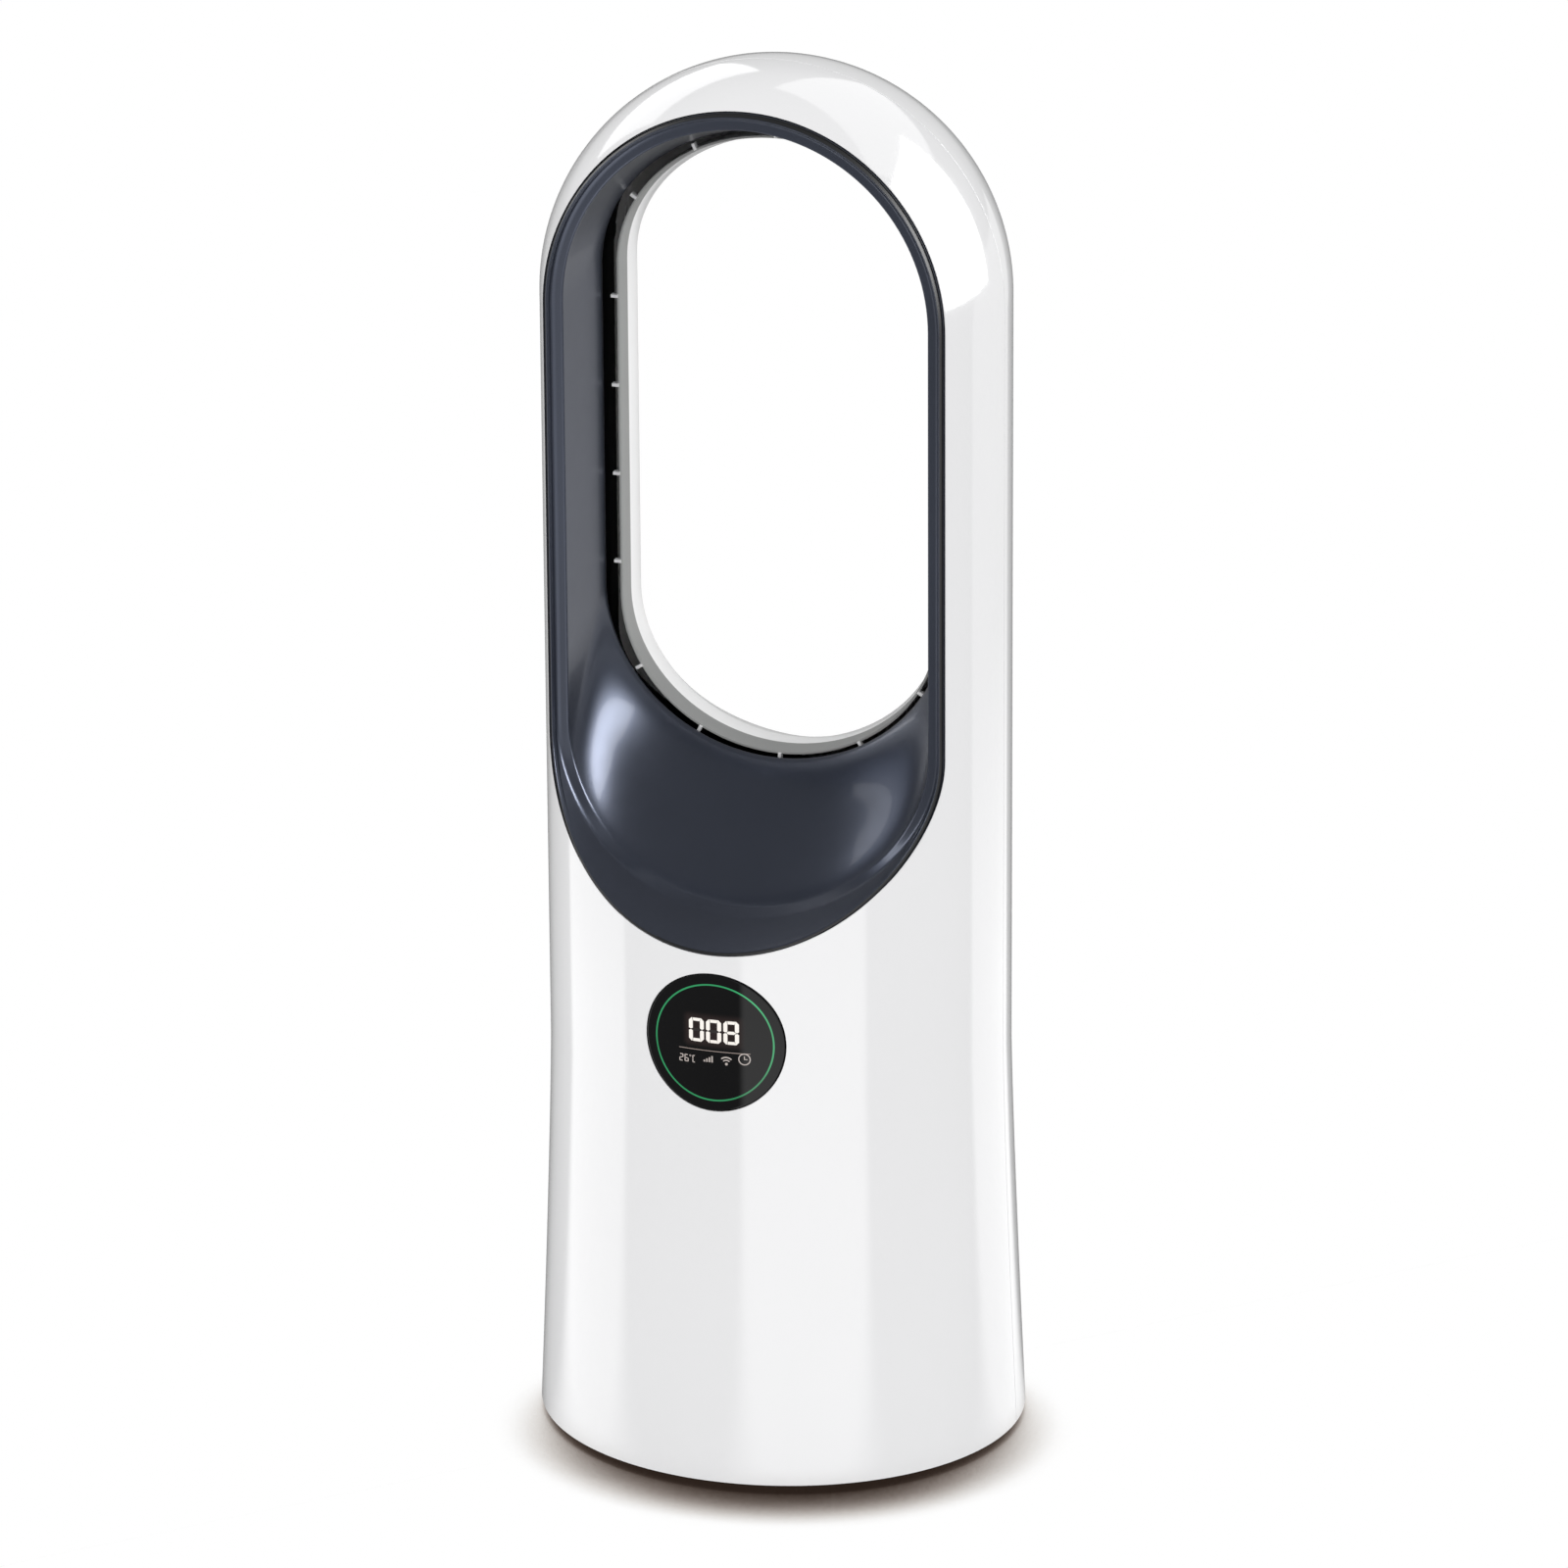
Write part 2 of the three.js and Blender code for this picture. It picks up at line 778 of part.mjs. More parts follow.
function frontShell() {
  const half = box(-reach, reach, -reach, -seamGap / 2, 0, bodyHeight + cutMargin);
  const opening = crosswise(outline(openingOval), -reach, reach);
  const lensHole = crossCylinder(lensRadius + fit, 0, displayZ, -reach, 0, lensSides);
  const shell = bodySolid.subtract(cavitySolid).intersect(half).subtract(opening).subtract(lensHole);
  return withBosses(shell, true);
}

function rearShell() {
  const half = box(-reach, reach, seamGap / 2, reach, 0, bodyHeight + cutMargin);
  const opening = crosswise(outline(rearOval), -reach, reach);
  const halfWidth = coverHalfWidth + fit;
  const coverOutline = roundedRectangle(halfWidth, coverBottom - fit, coverTop + fit, coverCorner);
  const coverHole = crosswise(coverOutline, 0, reach);
  const inletHole = box(
    -inletWidth / 2 - fit,
    inletWidth / 2 + fit,
    bodyHalfDepth / 2,
    reach,
    inletZ - inletHeight / 2 - fit,
    inletZ + inletHeight / 2 + fit,
  );
  const shell = bodySolid.subtract(cavitySolid).intersect(half);
  return withBosses(shell.subtract(opening).subtract(coverHole).subtract(inletHole), false);
}

// ---------------------------------------------------------------- base
const plateBottom = footHeight + fit;
const plateTop = plateBottom + basePlateThickness;
const rimTop = plateTop + baseRimHeight;
const flangeBottom = plateTop + fit;
const gearBottom = flangeBottom + spindleFlangeThickness + fit;
const gearTop = gearBottom + gearThickness;
const hubTop = deckTop + hubHeight;
const baseSides = 36;
const shaftSides = 16;
const bushRadius = spindleRadius + fit + bushWall;
const hubRadius = bushRadius + fit + hubWall;
const washerBottom = hubTop + fit + bushFlangeThickness + fit;
const clipBottom = washerBottom + washerThickness + fit;
const spindleTop = clipBottom + clipThickness + fit + spindleTopMargin;
const screwHole = screwRadius + fit;

function circlePlaces(count, radius, start = 0) {
  return Array.from({ length: count }, (unused, i) => {
    const angle = start + i / count * 2 * Math.PI;
    return [radius * Math.cos(angle), radius * Math.sin(angle)];
  });
}

const spindleScrewPlaces = circlePlaces(spindleScrewCount, spindleScrewCircle, Math.PI / 6);

function basePlate() {
  let plate = turned([
    [0, plateBottom],
    [basePlateRadius, plateBottom],
    [basePlateRadius, rimTop],
    [basePlateRadius - baseRimWidth, rimTop],
    [basePlateRadius - baseRimWidth, plateTop],
    [0, plateTop],
  ], baseSides);
  for (const [x, y] of spindleScrewPlaces) {
    plate = plate.subtract(cylinder(screwHole, 0, rimTop, holeSides, x, y));
  }
  return plate;
}

// A flat steel ring between the pinion's sweep and the plate's rim.
function baseWeight() {
  const pinionTip = gearModule * (pinionTeeth / 2 + pinionAddendum);
  const inner = gearDistance + pinionTip + baseWeightMargin;
  const outer = basePlateRadius - baseRimWidth - runningFit;
  const bottom = plateTop + fit;
  return tube(inner, outer, bottom, bottom + baseWeightThickness, baseSides);
}

function glideRing() {
  const inner = basePlateRadius - baseRimWidth + fit;
  const bottom = rimTop + fit;
  return tube(inner, basePlateRadius - fit, bottom, bottom + glideRingThickness, baseSides);
}

function foot() {
  return turned([
    [0, 0],
    [footRadius - footChamfer, 0],
    [footRadius, footChamfer],
    [footRadius, footHeight],
    [0, footHeight],
  ], shaftSides);
}

function pivotSpindle() {
  const grooveTop = clipBottom + clipThickness + fit;
  const grooveRadius = spindleRadius - clipGroove;
  let spindle = turned([
    [spindleBoreRadius, flangeBottom],
    [spindleFlangeRadius, flangeBottom],
    [spindleFlangeRadius, flangeBottom + spindleFlangeThickness],
    [spindleRadius, flangeBottom + spindleFlangeThickness],
    [spindleRadius, clipBottom - fit],
    [grooveRadius, clipBottom - fit],
    [grooveRadius, grooveTop],
    [spindleRadius, grooveTop],
    [spindleRadius, spindleTop],
    [spindleBoreRadius, spindleTop],
  ], 24);
  for (const [x, y] of spindleScrewPlaces) {
    spindle = spindle.subtract(cylinder(screwHole, 0, gearBottom, holeSides, x, y));
  }
  return spindle;
}

// A pan head below a shank, at its own origin where the two meet, pointing up.
function screw(length) {
  return turned([
    [0, -screwHeadHeight],
    [screwHeadRadius * screwHeadTaper, -screwHeadHeight],
    [screwHeadRadius, -screwHeadHeight / 2],
    [screwHeadRadius, 0],
    [screwRadius, 0],
    [screwRadius, length],
    [0, length],
  ], holeSides);
}

// ---------------------------------------------------------------- swivel gear and its pinion
function involute(angle) {
  return Math.tan(angle) - angle;
}

function gearOutline(teeth, addendum, flankSteps) {
  const pitchRadius = gearModule * teeth / 2;
  const baseRadius = pitchRadius * Math.cos(pressureAngle);
  const rootRadius = pitchRadius - dedendum * gearModule;
  const tipRadius = pitchRadius + addendum * gearModule;
  const halfTooth = Math.PI / 2 / teeth - gearBacklash / 4 / pitchRadius + involute(pressureAngle);
  const flank = [];
  for (let step = 0; step <= flankSteps; step++) {
    const radius = mix(Math.max(baseRadius, rootRadius), tipRadius, step / flankSteps);
    const angle = halfTooth - involute(Math.acos(Math.min(1, baseRadius / radius)));
    flank.push([radius, angle]);
  }
  if (rootRadius < baseRadius) {
    flank.unshift([rootRadius, flank[0][1]]);
  }
  const points = [];
  for (let tooth = 0; tooth < teeth; tooth++) {
    const middle = tooth / teeth * 2 * Math.PI;
    for (const [radius, angle] of flank) {
      points.push([radius * Math.cos(middle - angle), radius * Math.sin(middle - angle)]);
    }
    for (const [radius, angle] of [...flank].reverse()) {
      points.push([radius * Math.cos(middle + angle), radius * Math.sin(middle + angle)]);
    }
  }
  return points;
}

const gearDistance = gearModule * (gearTeeth + pinionTeeth) / 2;

// One of the gear's gaps faces the pinion, which stands in front of the spindle.
function swivelGear() {
  const turn = -Math.PI / 2 + Math.PI / gearTeeth;
  const teeth = upright(gearOutline(gearTeeth, gearAddendum, 1), gearBottom, gearTop);
  let gear = teeth.rotate([0, 0, turn * 180 / Math.PI]).subtract(cylinder(spindleRadius + fit, 0, deckTop));
  for (const [x, y] of spindleScrewPlaces) {
    gear = gear.subtract(cylinder(screwHole, 0, gearTop - spindleScrewMargin, holeSides, x, y));
  }
  return gear;
}

function drivePinion() {
  const bottom = gearBottom + (gearThickness - pinionThickness) / 2;
  const teeth = upright(gearOutline(pinionTeeth, pinionAddendum, 2), bottom, bottom + pinionThickness);
  return teeth.rotate([0, 0, 90]).subtract(cylinder(pinionShaftRadius + fit, 0, deckTop, shaftSides));
}

const earPlaces = [[-earOffset, 0], [earOffset, 0]];

// A motor can with two ears on the deck, its shaft bore open below.
function oscillationMotor() {
  const bottom = deckTop + fit;
  const earTop = bottom + earThickness;
  let motor = cylinder(oscillationMotorRadius, bottom, bottom + oscillationMotorHeight, shaftSides);
  for (const [x, y] of earPlaces) {
    const ear = cylinder(earRadius, bottom, earTop, bossSides, x, y);
    const bridge = box(Math.min(0, x), Math.max(0, x), -earRadius, earRadius, bottom, earTop);
    motor = motor.add(ear).add(bridge);
  }
  motor = motor.subtract(cylinder(pinionShaftRadius + fit, 0, bottom + shaftInMotor + fit, shaftSides));
  for (const [x, y] of earPlaces) {
    motor = motor.subtract(cylinder(screwHole, 0, earTop + fit, holeSides, x, y));
  }
  return motor;
}

function pinionShaft() {
  return cylinder(pinionShaftRadius, gearBottom, deckTop + fit + shaftInMotor, shaftSides);
}

// ---------------------------------------------------------------- deck and what stands on it
const boardPosts = [-1, 1].flatMap((sx) => [-1, 1].map((sy) => [
  powerBoardX + sx * (powerBoardWidth / 2 - boardStandoffRadius - boardPostMargin),
  sy * (powerBoardLength / 2 - boardStandoffRadius - boardPostMargin),
]));

function turntableDeck() {
  let deck = innerSpace.intersect(box(-reach, reach, -reach, reach, deckBottom, deckTop));
  deck = deck.add(cylinder(hubRadius, deckBottom, hubTop));
  deck = deck.subtract(cylinder(bushRadius + fit, 0, bodyHeight));
  deck = deck.subtract(cylinder(pinionShaftRadius + 2 * fit, 0, hubTop, shaftSides, 0, -gearDistance));
  for (const [x, y] of boardPosts) {
    deck = deck.add(cylinder(boardStandoffRadius, deckBottom, deckTop + boardStandoff, holeSides, x, y));
  }
  for (const [x, y] of [...shellBossPlaces(true), ...shellBossPlaces(false)]) {
    deck = deck.subtract(cylinder(screwHole, 0, hubTop, holeSides, x, y));
  }
  for (const [x, y] of earPlaces) {
    deck = deck.subtract(cylinder(screwHole, 0, hubTop, holeSides, x, y - gearDistance));
  }
  return deck;
}

function spindleBush() {
  const inner = spindleRadius + fit;
  const flangeBottomZ = hubTop + fit;
  return turned([
    [inner, deckBottom + fit],
    [bushRadius, deckBottom + fit],
    [bushRadius, flangeBottomZ],
    [bushRadius + bushFlangeWidth, flangeBottomZ],
    [bushRadius + bushFlangeWidth, flangeBottomZ + bushFlangeThickness],
    [inner, flangeBottomZ + bushFlangeThickness],
  ], 24);
}

function retainingWasher() {
  const inner = spindleRadius + fit;
  return tube(inner, inner + washerWidth, washerBottom, washerBottom + washerThickness, 24);
}

function retainingClip() {
  const inner = spindleRadius - clipGroove + fit;
  const ring = tube(inner, inner + clipGroove + clipWidth, clipBottom, clipBottom + clipThickness, 24);
  const mouth = inner * clipMouth;
  return ring.subtract(box(-mouth, mouth, 0, spindleFlangeRadius, 0, spindleTop));
}

const boardTop = deckTop + boardStandoff + fit + boardThickness;

// A block soldered on the power board. Its sides are shares of the board's half width and half length.
function boardBlock({ left, right, front, back, height }) {
  const [w, l] = [powerBoardWidth / 2, powerBoardLength / 2];
  return box(w * left, w * right, l * front, l * back, boardTop - solderDepth, boardTop + height);
}

function powerBoard() {
  const [w, l] = [powerBoardWidth / 2, powerBoardLength / 2];
  const board = box(-w, w, -l, l, boardTop - boardThickness, boardTop);
  const capacitorTop = boardTop + capacitorHeight;
  const bottom = boardTop - solderDepth;
  const capacitor = cylinder(capacitorRadius, bottom, capacitorTop, shaftSides, capacitorX, capacitorY);
  return joined([board, capacitor, ...[transformer, heatSink, cableSocket].map(boardBlock)]);
}

function airSensor() {
  const bottom = deckTop + fit;
  const [w, l] = [sensorWidth / 2, sensorLength / 2];
  const port = crossCylinder(sensorPortRadius, 0, bottom + sensorHeight / 2, l / 2, reach, shaftSides);
  return box(-w, w, -l, l, bottom, bottom + sensorHeight).subtract(port);
}

function stadium(halfLength, halfHeight, z, endSteps = 4, x = 0) {
  const points = [];
  for (const side of [1, -1]) {
    for (let step = 0; step <= endSteps; step++) {
      const angle = (step / endSteps - 0.5) * Math.PI;
      const out = halfLength - halfHeight + halfHeight * Math.cos(angle);
      points.push([x + side * out, z + side * halfHeight * Math.sin(angle)]);
    }
  }
  return points;
}

// The mains inlet: a two-pin socket open to the back, with a flange inside the shell.
function powerInlet() {
  const [w, h] = [inletWidth / 2, inletHeight / 2];
  const back = depthScale * bodyRadius(inletZ) - inletSetback;
  const front = back - inletDepth;
  const skin = capsule(fit, 0, shellSides, flareRows, domeRows);
  const neck = box(-w, w, front, back, inletZ - h, inletZ + h).intersect(skin);
  const flange = box(
    -w - inletFlange,
    w + inletFlange,
    front,
    back,
    inletZ - h - inletFlange,
    inletZ + h + inletFlange,
  ).intersect(innerSpace);
  const floorY = front + inletFloor;
  const hollow = crosswise(stadium(w - inletWall, h - inletWall, inletZ), floorY, reach);
  let inlet = neck.add(flange).subtract(hollow);
  for (const side of [-1, 1]) {
    const x = side * inletPinSpacing / 2;
    inlet = inlet.add(crossCylinder(inletPinRadius, x, inletZ, front, floorY + inletPinLength, bossSides));
  }
  return inlet;
}

// ---------------------------------------------------------------- intake
function intakeCover() {
  const panel = roundedRectangle(coverHalfWidth, coverBottom, coverTop, coverCorner);
  let cover = bodySolid.subtract(cavitySolid).intersect(crosswise(panel, bodyHalfDepth / 4, reach));
  const columnPitch = (2 * coverHalfWidth - 2 * grilleMargin) / slotColumns;
  const rowPitch = (coverTop - coverBottom - 2 * grilleMargin) / (slotRows - 1);
  const slots = [];
  for (let column = 0; column < slotColumns; column++) {
    for (let row = 0; row < slotRows; row++) {
      const x = (column - (slotColumns - 1) / 2) * columnPitch;
      const z = coverBottom + grilleMargin + row * rowPitch;
      const hole = stadium((columnPitch - grilleBarWidth) / 2, grilleSlotHeight / 2, z, 2, x);
      slots.push(crosswise(hole, bodyHalfDepth / 4, reach));
    }
  }
  cover = cover.subtract(joined(slots));
  return cover;
}

const filterHalfWidth = coverHalfWidth - filterInset;
const filterBottom = coverBottom + filterInset / 2;
const filterTop = coverTop - filterInset / 2;
const filterBackY = filterFrontY + filterDepth;

// Four rails round the filter. The two side rails run back to the cover that carries them.
function filterFrame() {
  const [w, wall] = [filterHalfWidth, filterFrameWall];
  const outer = box(-w, w, filterFrontY, filterBackY, filterBottom, filterTop);
  const hole = box(-w + wall, w - wall, 0, reach, filterBottom + wall, filterTop - wall);
  const sides = [-1, 1].map((side) => {
    const inner = side * (w - wall);
    const x0 = Math.min(inner, side * w);
    return box(x0, x0 + wall, filterFrontY, reach, filterBottom, filterTop);
  });
  return joined([outer.subtract(hole), ...sides]).intersect(innerSpace);
}

function filterMedia() {
  const half = filterHalfWidth - filterFrameWall - fit;
  const pitch = 2 * half / pleatCount;
  const [near, far] = [filterFrontY + pleatMargin, filterBackY - pleatMargin];
  const rightEdge = [];
  const leftEdge = [];
  for (let fold = 0; fold <= 2 * pleatCount; fold++) {
    const x = -half + fold * pitch / 2;
    const back = fold % 2 === 0;
    const y = back ? far : near;
    const shift = filterSheet * Math.hypot(far - near, pitch / 2) / (pitch / 2);
    rightEdge.push([x, back ? y : y + shift]);
    leftEdge.unshift([x, back ? y - shift : y]);
  }
  const bottom = filterBottom + filterFrameWall + fit;
  return upright([...rightEdge, ...leftEdge], bottom, filterTop - filterFrameWall - fit);
}

// ---------------------------------------------------------------- blower
const casingSides = 28;
const bellmouthSteps = 4;
const bulkheadTop = bulkheadBottom + bulkheadThickness;
const collarRadius = bellmouthThroat + bellmouthWall;
const casingBottom = bulkheadTop + fit;
const mountTop = casingBottom + mountHeight;
const impellerBottom = bulkheadTop + bellmouthCollar + impellerGap;
const impellerTop = impellerBottom + impellerHeight;
const diffuserBottom = impellerTop + impellerGap;
const diffuserFloorTop = diffuserBottom + diffuserFloor;
const motorBottom = diffuserFloorTop + fit;
const motorTop = motorBottom + motorHeight;
const diffuserTubeInner = motorRadius + isolatorWall + 2 * fit;
const diffuserTubeOuter = diffuserTubeInner + diffuserTubeWall;
const diffuserTop = motorTop + motorTopGap;
const boreRadius = shaftRadius + fit;
const cableY = displayBoardY + displayHousingDepth / 3;

function bulkhead() {
  const plate = innerSpace.intersect(box(-reach, reach, -reach, reach, bulkheadBottom, bulkheadTop));
  const eye = cylinder(collarRadius + bellmouthWall + fit, 0, bodyHeight);
  const cableHole = cylinder(cableRadius + 2 * fit, 0, bodyHeight, shaftSides, 0, cableY);
  return plate.subtract(eye).subtract(cableHole);
}

// The inlet nozzle under the impeller: a flange below the bulkhead and a collar through it.
function inletBellmouth() {
  const bottom = bulkheadBottom - fit - bellmouthDepth;
  const seat = collarRadius + bellmouthWall;
  const profile = [];
  for (let step = 0; step <= bellmouthSteps; step++) {
    const angle = step / bellmouthSteps * Math.PI / 2;
    const radius = bellmouthThroat + bellmouthFlare * (1 - Math.cos(angle));
    profile.unshift([radius, bottom + bellmouthDepth * (1 - Math.sin(angle))]);
  }
  const rim = bellmouthThroat + bellmouthFlare + bellmouthRim;
  profile.push([bellmouthThroat, bulkheadTop + bellmouthCollar]);
  profile.push([collarRadius, bulkheadTop + bellmouthCollar]);
  profile.push([collarRadius, bulkheadTop + bellmouthStep]);
  profile.push([seat, bulkheadTop + bellmouthStep]);
  profile.push([seat, bulkheadBottom - fit]);
  profile.push([rim, bulkheadBottom - fit]);
  profile.push([rim, bottom]);
  return turned(profile);
}

function blowerCasing() {
  const outer = casingRadius + casingWall;
  const flange = outer + casingFlangeWidth;
  const flangeBottomZ = mountTop + fit;
  return turned([
    [casingRadius, casingBottom],
    [outer, casingBottom],
    [outer, flangeBottomZ],
    [flange, flangeBottomZ],
    [flange, flangeBottomZ + casingFlangeThickness],
    [outer, flangeBottomZ + casingFlangeThickness],
    [outer, casingBottom + casingHeight],
    [casingRadius, casingBottom + casingHeight],
  ], casingSides);
}

const mountPlaces = circlePlaces(
  mountCount,
  casingRadius + casingWall + casingFlangeWidth / 2,
  Math.PI / 2,
);

function vibrationMount() {
  const [low, middle, high] = mountNeck.map((share) => share * mountHeight);
  return turned([
    [0, 0],
    [mountRadius, 0],
    [mountRadius, low],
    [mountRadius * mountWaist, middle],
    [mountRadius, high],
    [mountRadius, mountHeight],
    [0, mountHeight],
  ], bossSides);
}

function impellerBlade(start) {
  const front = [];
  const back = [];
  for (let step = 0; step <= bladeSteps; step++) {
    const share = step / bladeSteps;
    const radius = mix(bladeInnerRadius, impellerRadius, share);
    const angle = start - bladeSweep * share * share;
    const half = bladeThickness / 2 / radius;
    front.push([radius * Math.cos(angle + half), radius * Math.sin(angle + half)]);
    back.unshift([radius * Math.cos(angle - half), radius * Math.sin(angle - half)]);
  }
  return upright([...back, ...front], impellerBottom + impellerPlate, impellerTop - impellerPlate / 2);
}

function impeller() {
  const plateBottom = impellerTop - impellerPlate;
  const curve = impellerHubCurve.map(([out, share]) => {
    return [impellerHubRadius + out, impellerBottom + impellerHeight * share];
  });
  const hub = turned([
    [boreRadius, impellerBottom],
    [impellerHubRadius, impellerBottom],
    ...curve,
    [impellerRadius, plateBottom],
    [impellerRadius, impellerTop],
    [boreRadius, impellerTop],
  ]);
  const blades = circlePlaces(bladeCount, 1).map(([x, y]) => impellerBlade(Math.atan2(y, x)));
  return joined([hub, ...blades]).subtract(cylinder(boreRadius, 0, bodyHeight));
}

function motorShaft() {
  const bottom = impellerBottom - fit - nutHeight - shaftEnd;
  return cylinder(shaftRadius, bottom, motorBottom + shaftInMotor, shaftSides);
}

function impellerNut() {
  const top = impellerBottom - fit;
  const bore = cylinder(boreRadius, 0, bodyHeight, shaftSides);
  return cylinder(nutRadius, top - nutHeight, top, 6).subtract(bore);
}

function shaftBearing() {
  return tube(boreRadius, bearingRadius, diffuserBottom, diffuserFloorTop - fit);
}

// The bucket that holds the motor, with guide vanes out to the casing.
function diffuser() {
  const bucket = turned([
    [bearingRadius + fit, diffuserBottom],
    [diffuserTubeOuter, diffuserBottom],
    [diffuserTubeOuter, diffuserTop],
    [diffuserTubeInner, diffuserTop],
    [diffuserTubeInner, diffuserFloorTop],
    [bearingRadius + fit, diffuserFloorTop],
  ]);
  const bottom = diffuserBottom + diffuserFloor;
  const half = vaneThickness / 2;
  const tip = (casingRadius - fit) * Math.cos(Math.PI / casingSides) - fit / 3;
  const vanes = circlePlaces(vaneCount, 1).map(([x, y]) => {
    const vane = box(diffuserTubeOuter - half, tip, -half, half, bottom, bottom + vaneHeight);
    return vane.rotate([0, 0, Math.atan2(y, x) * 180 / Math.PI]);
  });
  return joined([bucket, ...vanes]);
}

function blowerMotor() {
  const boreTop = motorBottom + shaftInMotor + fit;
  return turned([
    [0, boreTop],
    [boreRadius, boreTop],
    [boreRadius, motorBottom],
    [motorRadius, motorBottom],
    [motorRadius, motorTop - motorChamfer],
    [motorRadius - motorChamfer, motorTop],
    [0, motorTop],
  ]);
}

function motorIsolator() {
  const bottom = motorBottom + (motorHeight - isolatorHeight) / 2;
  const inner = motorRadius + fit;
  return tube(inner, inner + isolatorWall, bottom, bottom + isolatorHeight);
}

function motorCap() {
  const bottom = diffuserTop + fit;
  const profile = [[0, bottom], [diffuserTubeOuter, bottom], [diffuserTubeOuter, bottom + motorCapFlange]];
  for (let step = 1; step < motorCapSteps; step++) {
    const angle = step / motorCapSteps * Math.PI / 2;
    const rise = (motorCapHeight - motorCapFlange) * Math.sin(angle);
    profile.push([diffuserTubeInner * Math.cos(angle), bottom + motorCapFlange + rise]);
  }
  profile.push([0, bottom + motorCapHeight]);
  return turned(profile);
}

// ---------------------------------------------------------------- display
const ringSides = 28;
const lensBack = capsule(lensThickness, shellBottom, shellSides, flareRows, domeRows);
const behindLens = capsule(lensThickness + fit, shellBottom, shellSides, flareRows, domeRows);
const housingOuter = lensRadius + fit + displayHousingWall;
const housingInner = housingOuter - displayHousingWall;
const housingBack = displayBoardY + displayHousingDepth;

function displayLens() {
  const disc = crossCylinder(lensRadius, 0, displayZ, -reach, 0, lensSides);
  return bodySolid.subtract(lensBack).intersect(disc);
}

function lightRing() {
  const half = lightRingWidth / 2;
  const outer = crossCylinder(lightRingRadius + half, 0, displayZ, -reach, displayBoardY - fit, ringSides);
  const inner = crossCylinder(lightRingRadius - half, 0, displayZ, -reach, 0, ringSides);
  return outer.subtract(inner).intersect(behindLens);
}

function digitModule() {
  const [w, h] = [digitWidth / 2, digitHeight / 2];
  const block = box(-w, w, -reach, displayBoardY - fit, displayZ - h, displayZ + h);
  return block.intersect(behindLens);
}

function displayBoard() {
  const y = displayBoardY;
  return crossCylinder(housingInner - fit, 0, displayZ, y, y + boardThickness, ringSides);
}

// A cup behind the board. Its rim meets the inside of the shell round the lens.
function displayHousing() {
  const cup = crossCylinder(housingOuter, 0, displayZ, -reach, housingBack, ringSides);
  const seat = displayBoardY + boardThickness + fit;
  const floorY = housingBack - displayHousingWall;
  const hollow = crossCylinder(housingInner, 0, displayZ, -reach, seat, ringSides);
  const well = crossCylinder(housingInner - displayBoardSeat, 0, displayZ, -reach, floorY, ringSides);
  return cup.subtract(hollow).subtract(well).intersect(innerSpace);
}

// The lead from the display down through the bulkhead to the power board's socket.
function displayCable() {
  const start = displayZ - housingOuter - 2 * fit;
  const socketX = powerBoardX + powerBoardWidth / 2 * (cableSocket.left + cableSocket.right) / 2;
  const socketY = powerBoardLength / 2 * (cableSocket.front + cableSocket.back) / 2;
  const socketTop = boardTop + cableSocket.height + fit;
  const straight = [start, start - cableDrop, bulkheadTop, bulkheadBottom - cableLoop];
  const path = new THREE.CatmullRomCurve3([
    ...straight.map((z) => new THREE.Vector3(0, cableY, z)),
    ...cableBends.map(({ across, along, rise }) => {
      return new THREE.Vector3(socketX * across, mix(cableY, socketY, along), socketTop + cableRise * rise);
    }),
  ]);
  const section = new THREE.Shape(circlePlaces(6, cableRadius).map(([x, y]) => new THREE.Vector2(x, y)));
  const geometry = new THREE.ExtrudeGeometry(section, {
    steps: cableSteps,
    extrudePath: path,
    bevelEnabled: false,
  });
  return solid(geometry);
}

// ---------------------------------------------------------------- assembly
const fan = new THREE.Group();

function place(group, name, body, material, x = 0, y = 0, z = 0) {
  const mesh = new THREE.Mesh(geometryOf(body), material);
  mesh.name = name;
  mesh.position.set(x, y, z);
  group.add(mesh);
}

function buildBase() {
  const base = new THREE.Group();
  place(base, 'base_plate', basePlate(), plasticBlack);
  place(base, 'base_weight', baseWeight(), steel);
  place(base, 'glide_ring', glideRing(), acetalWhite);
  place(base, 'pivot_spindle', pivotSpindle(), steel);
  place(base, 'swivel_gear', swivelGear(), acetalWhite);
  circlePlaces(footCount, footCircle, Math.PI / 4).forEach(([x, y], i) => {
    place(base, `rubber_foot_${i + 1}`, foot(), rubberBlack, x, y);
  });
  const spindleScrew = screw(gearTop - spindleScrewMargin - footHeight - 2 * fit);
  spindleScrewPlaces.forEach(([x, y], i) => {
    place(base, `spindle_screw_${i + 1}`, spindleScrew, steel, x, y, footHeight);
  });
  return base;
}

function buildSwivelDrive() {
  const drive = new THREE.Group();
  drive.position.set(0, -gearDistance, 0);
  place(drive, 'drive_pinion', drivePinion(), acetalWhite);
  place(drive, 'pinion_shaft', pinionShaft(), steel);
  place(drive, 'oscillation_motor', oscillationMotor(), steel);
  const earScrew = screw(deckThickness + earThickness).rotate([180, 0, 0]);
  earPlaces.forEach(([x, y], i) => {
    place(drive, `motor_screw_${i + 1}`, earScrew, steel, x, y, deckTop + 2 * fit + earThickness);
  });
  return drive;
}

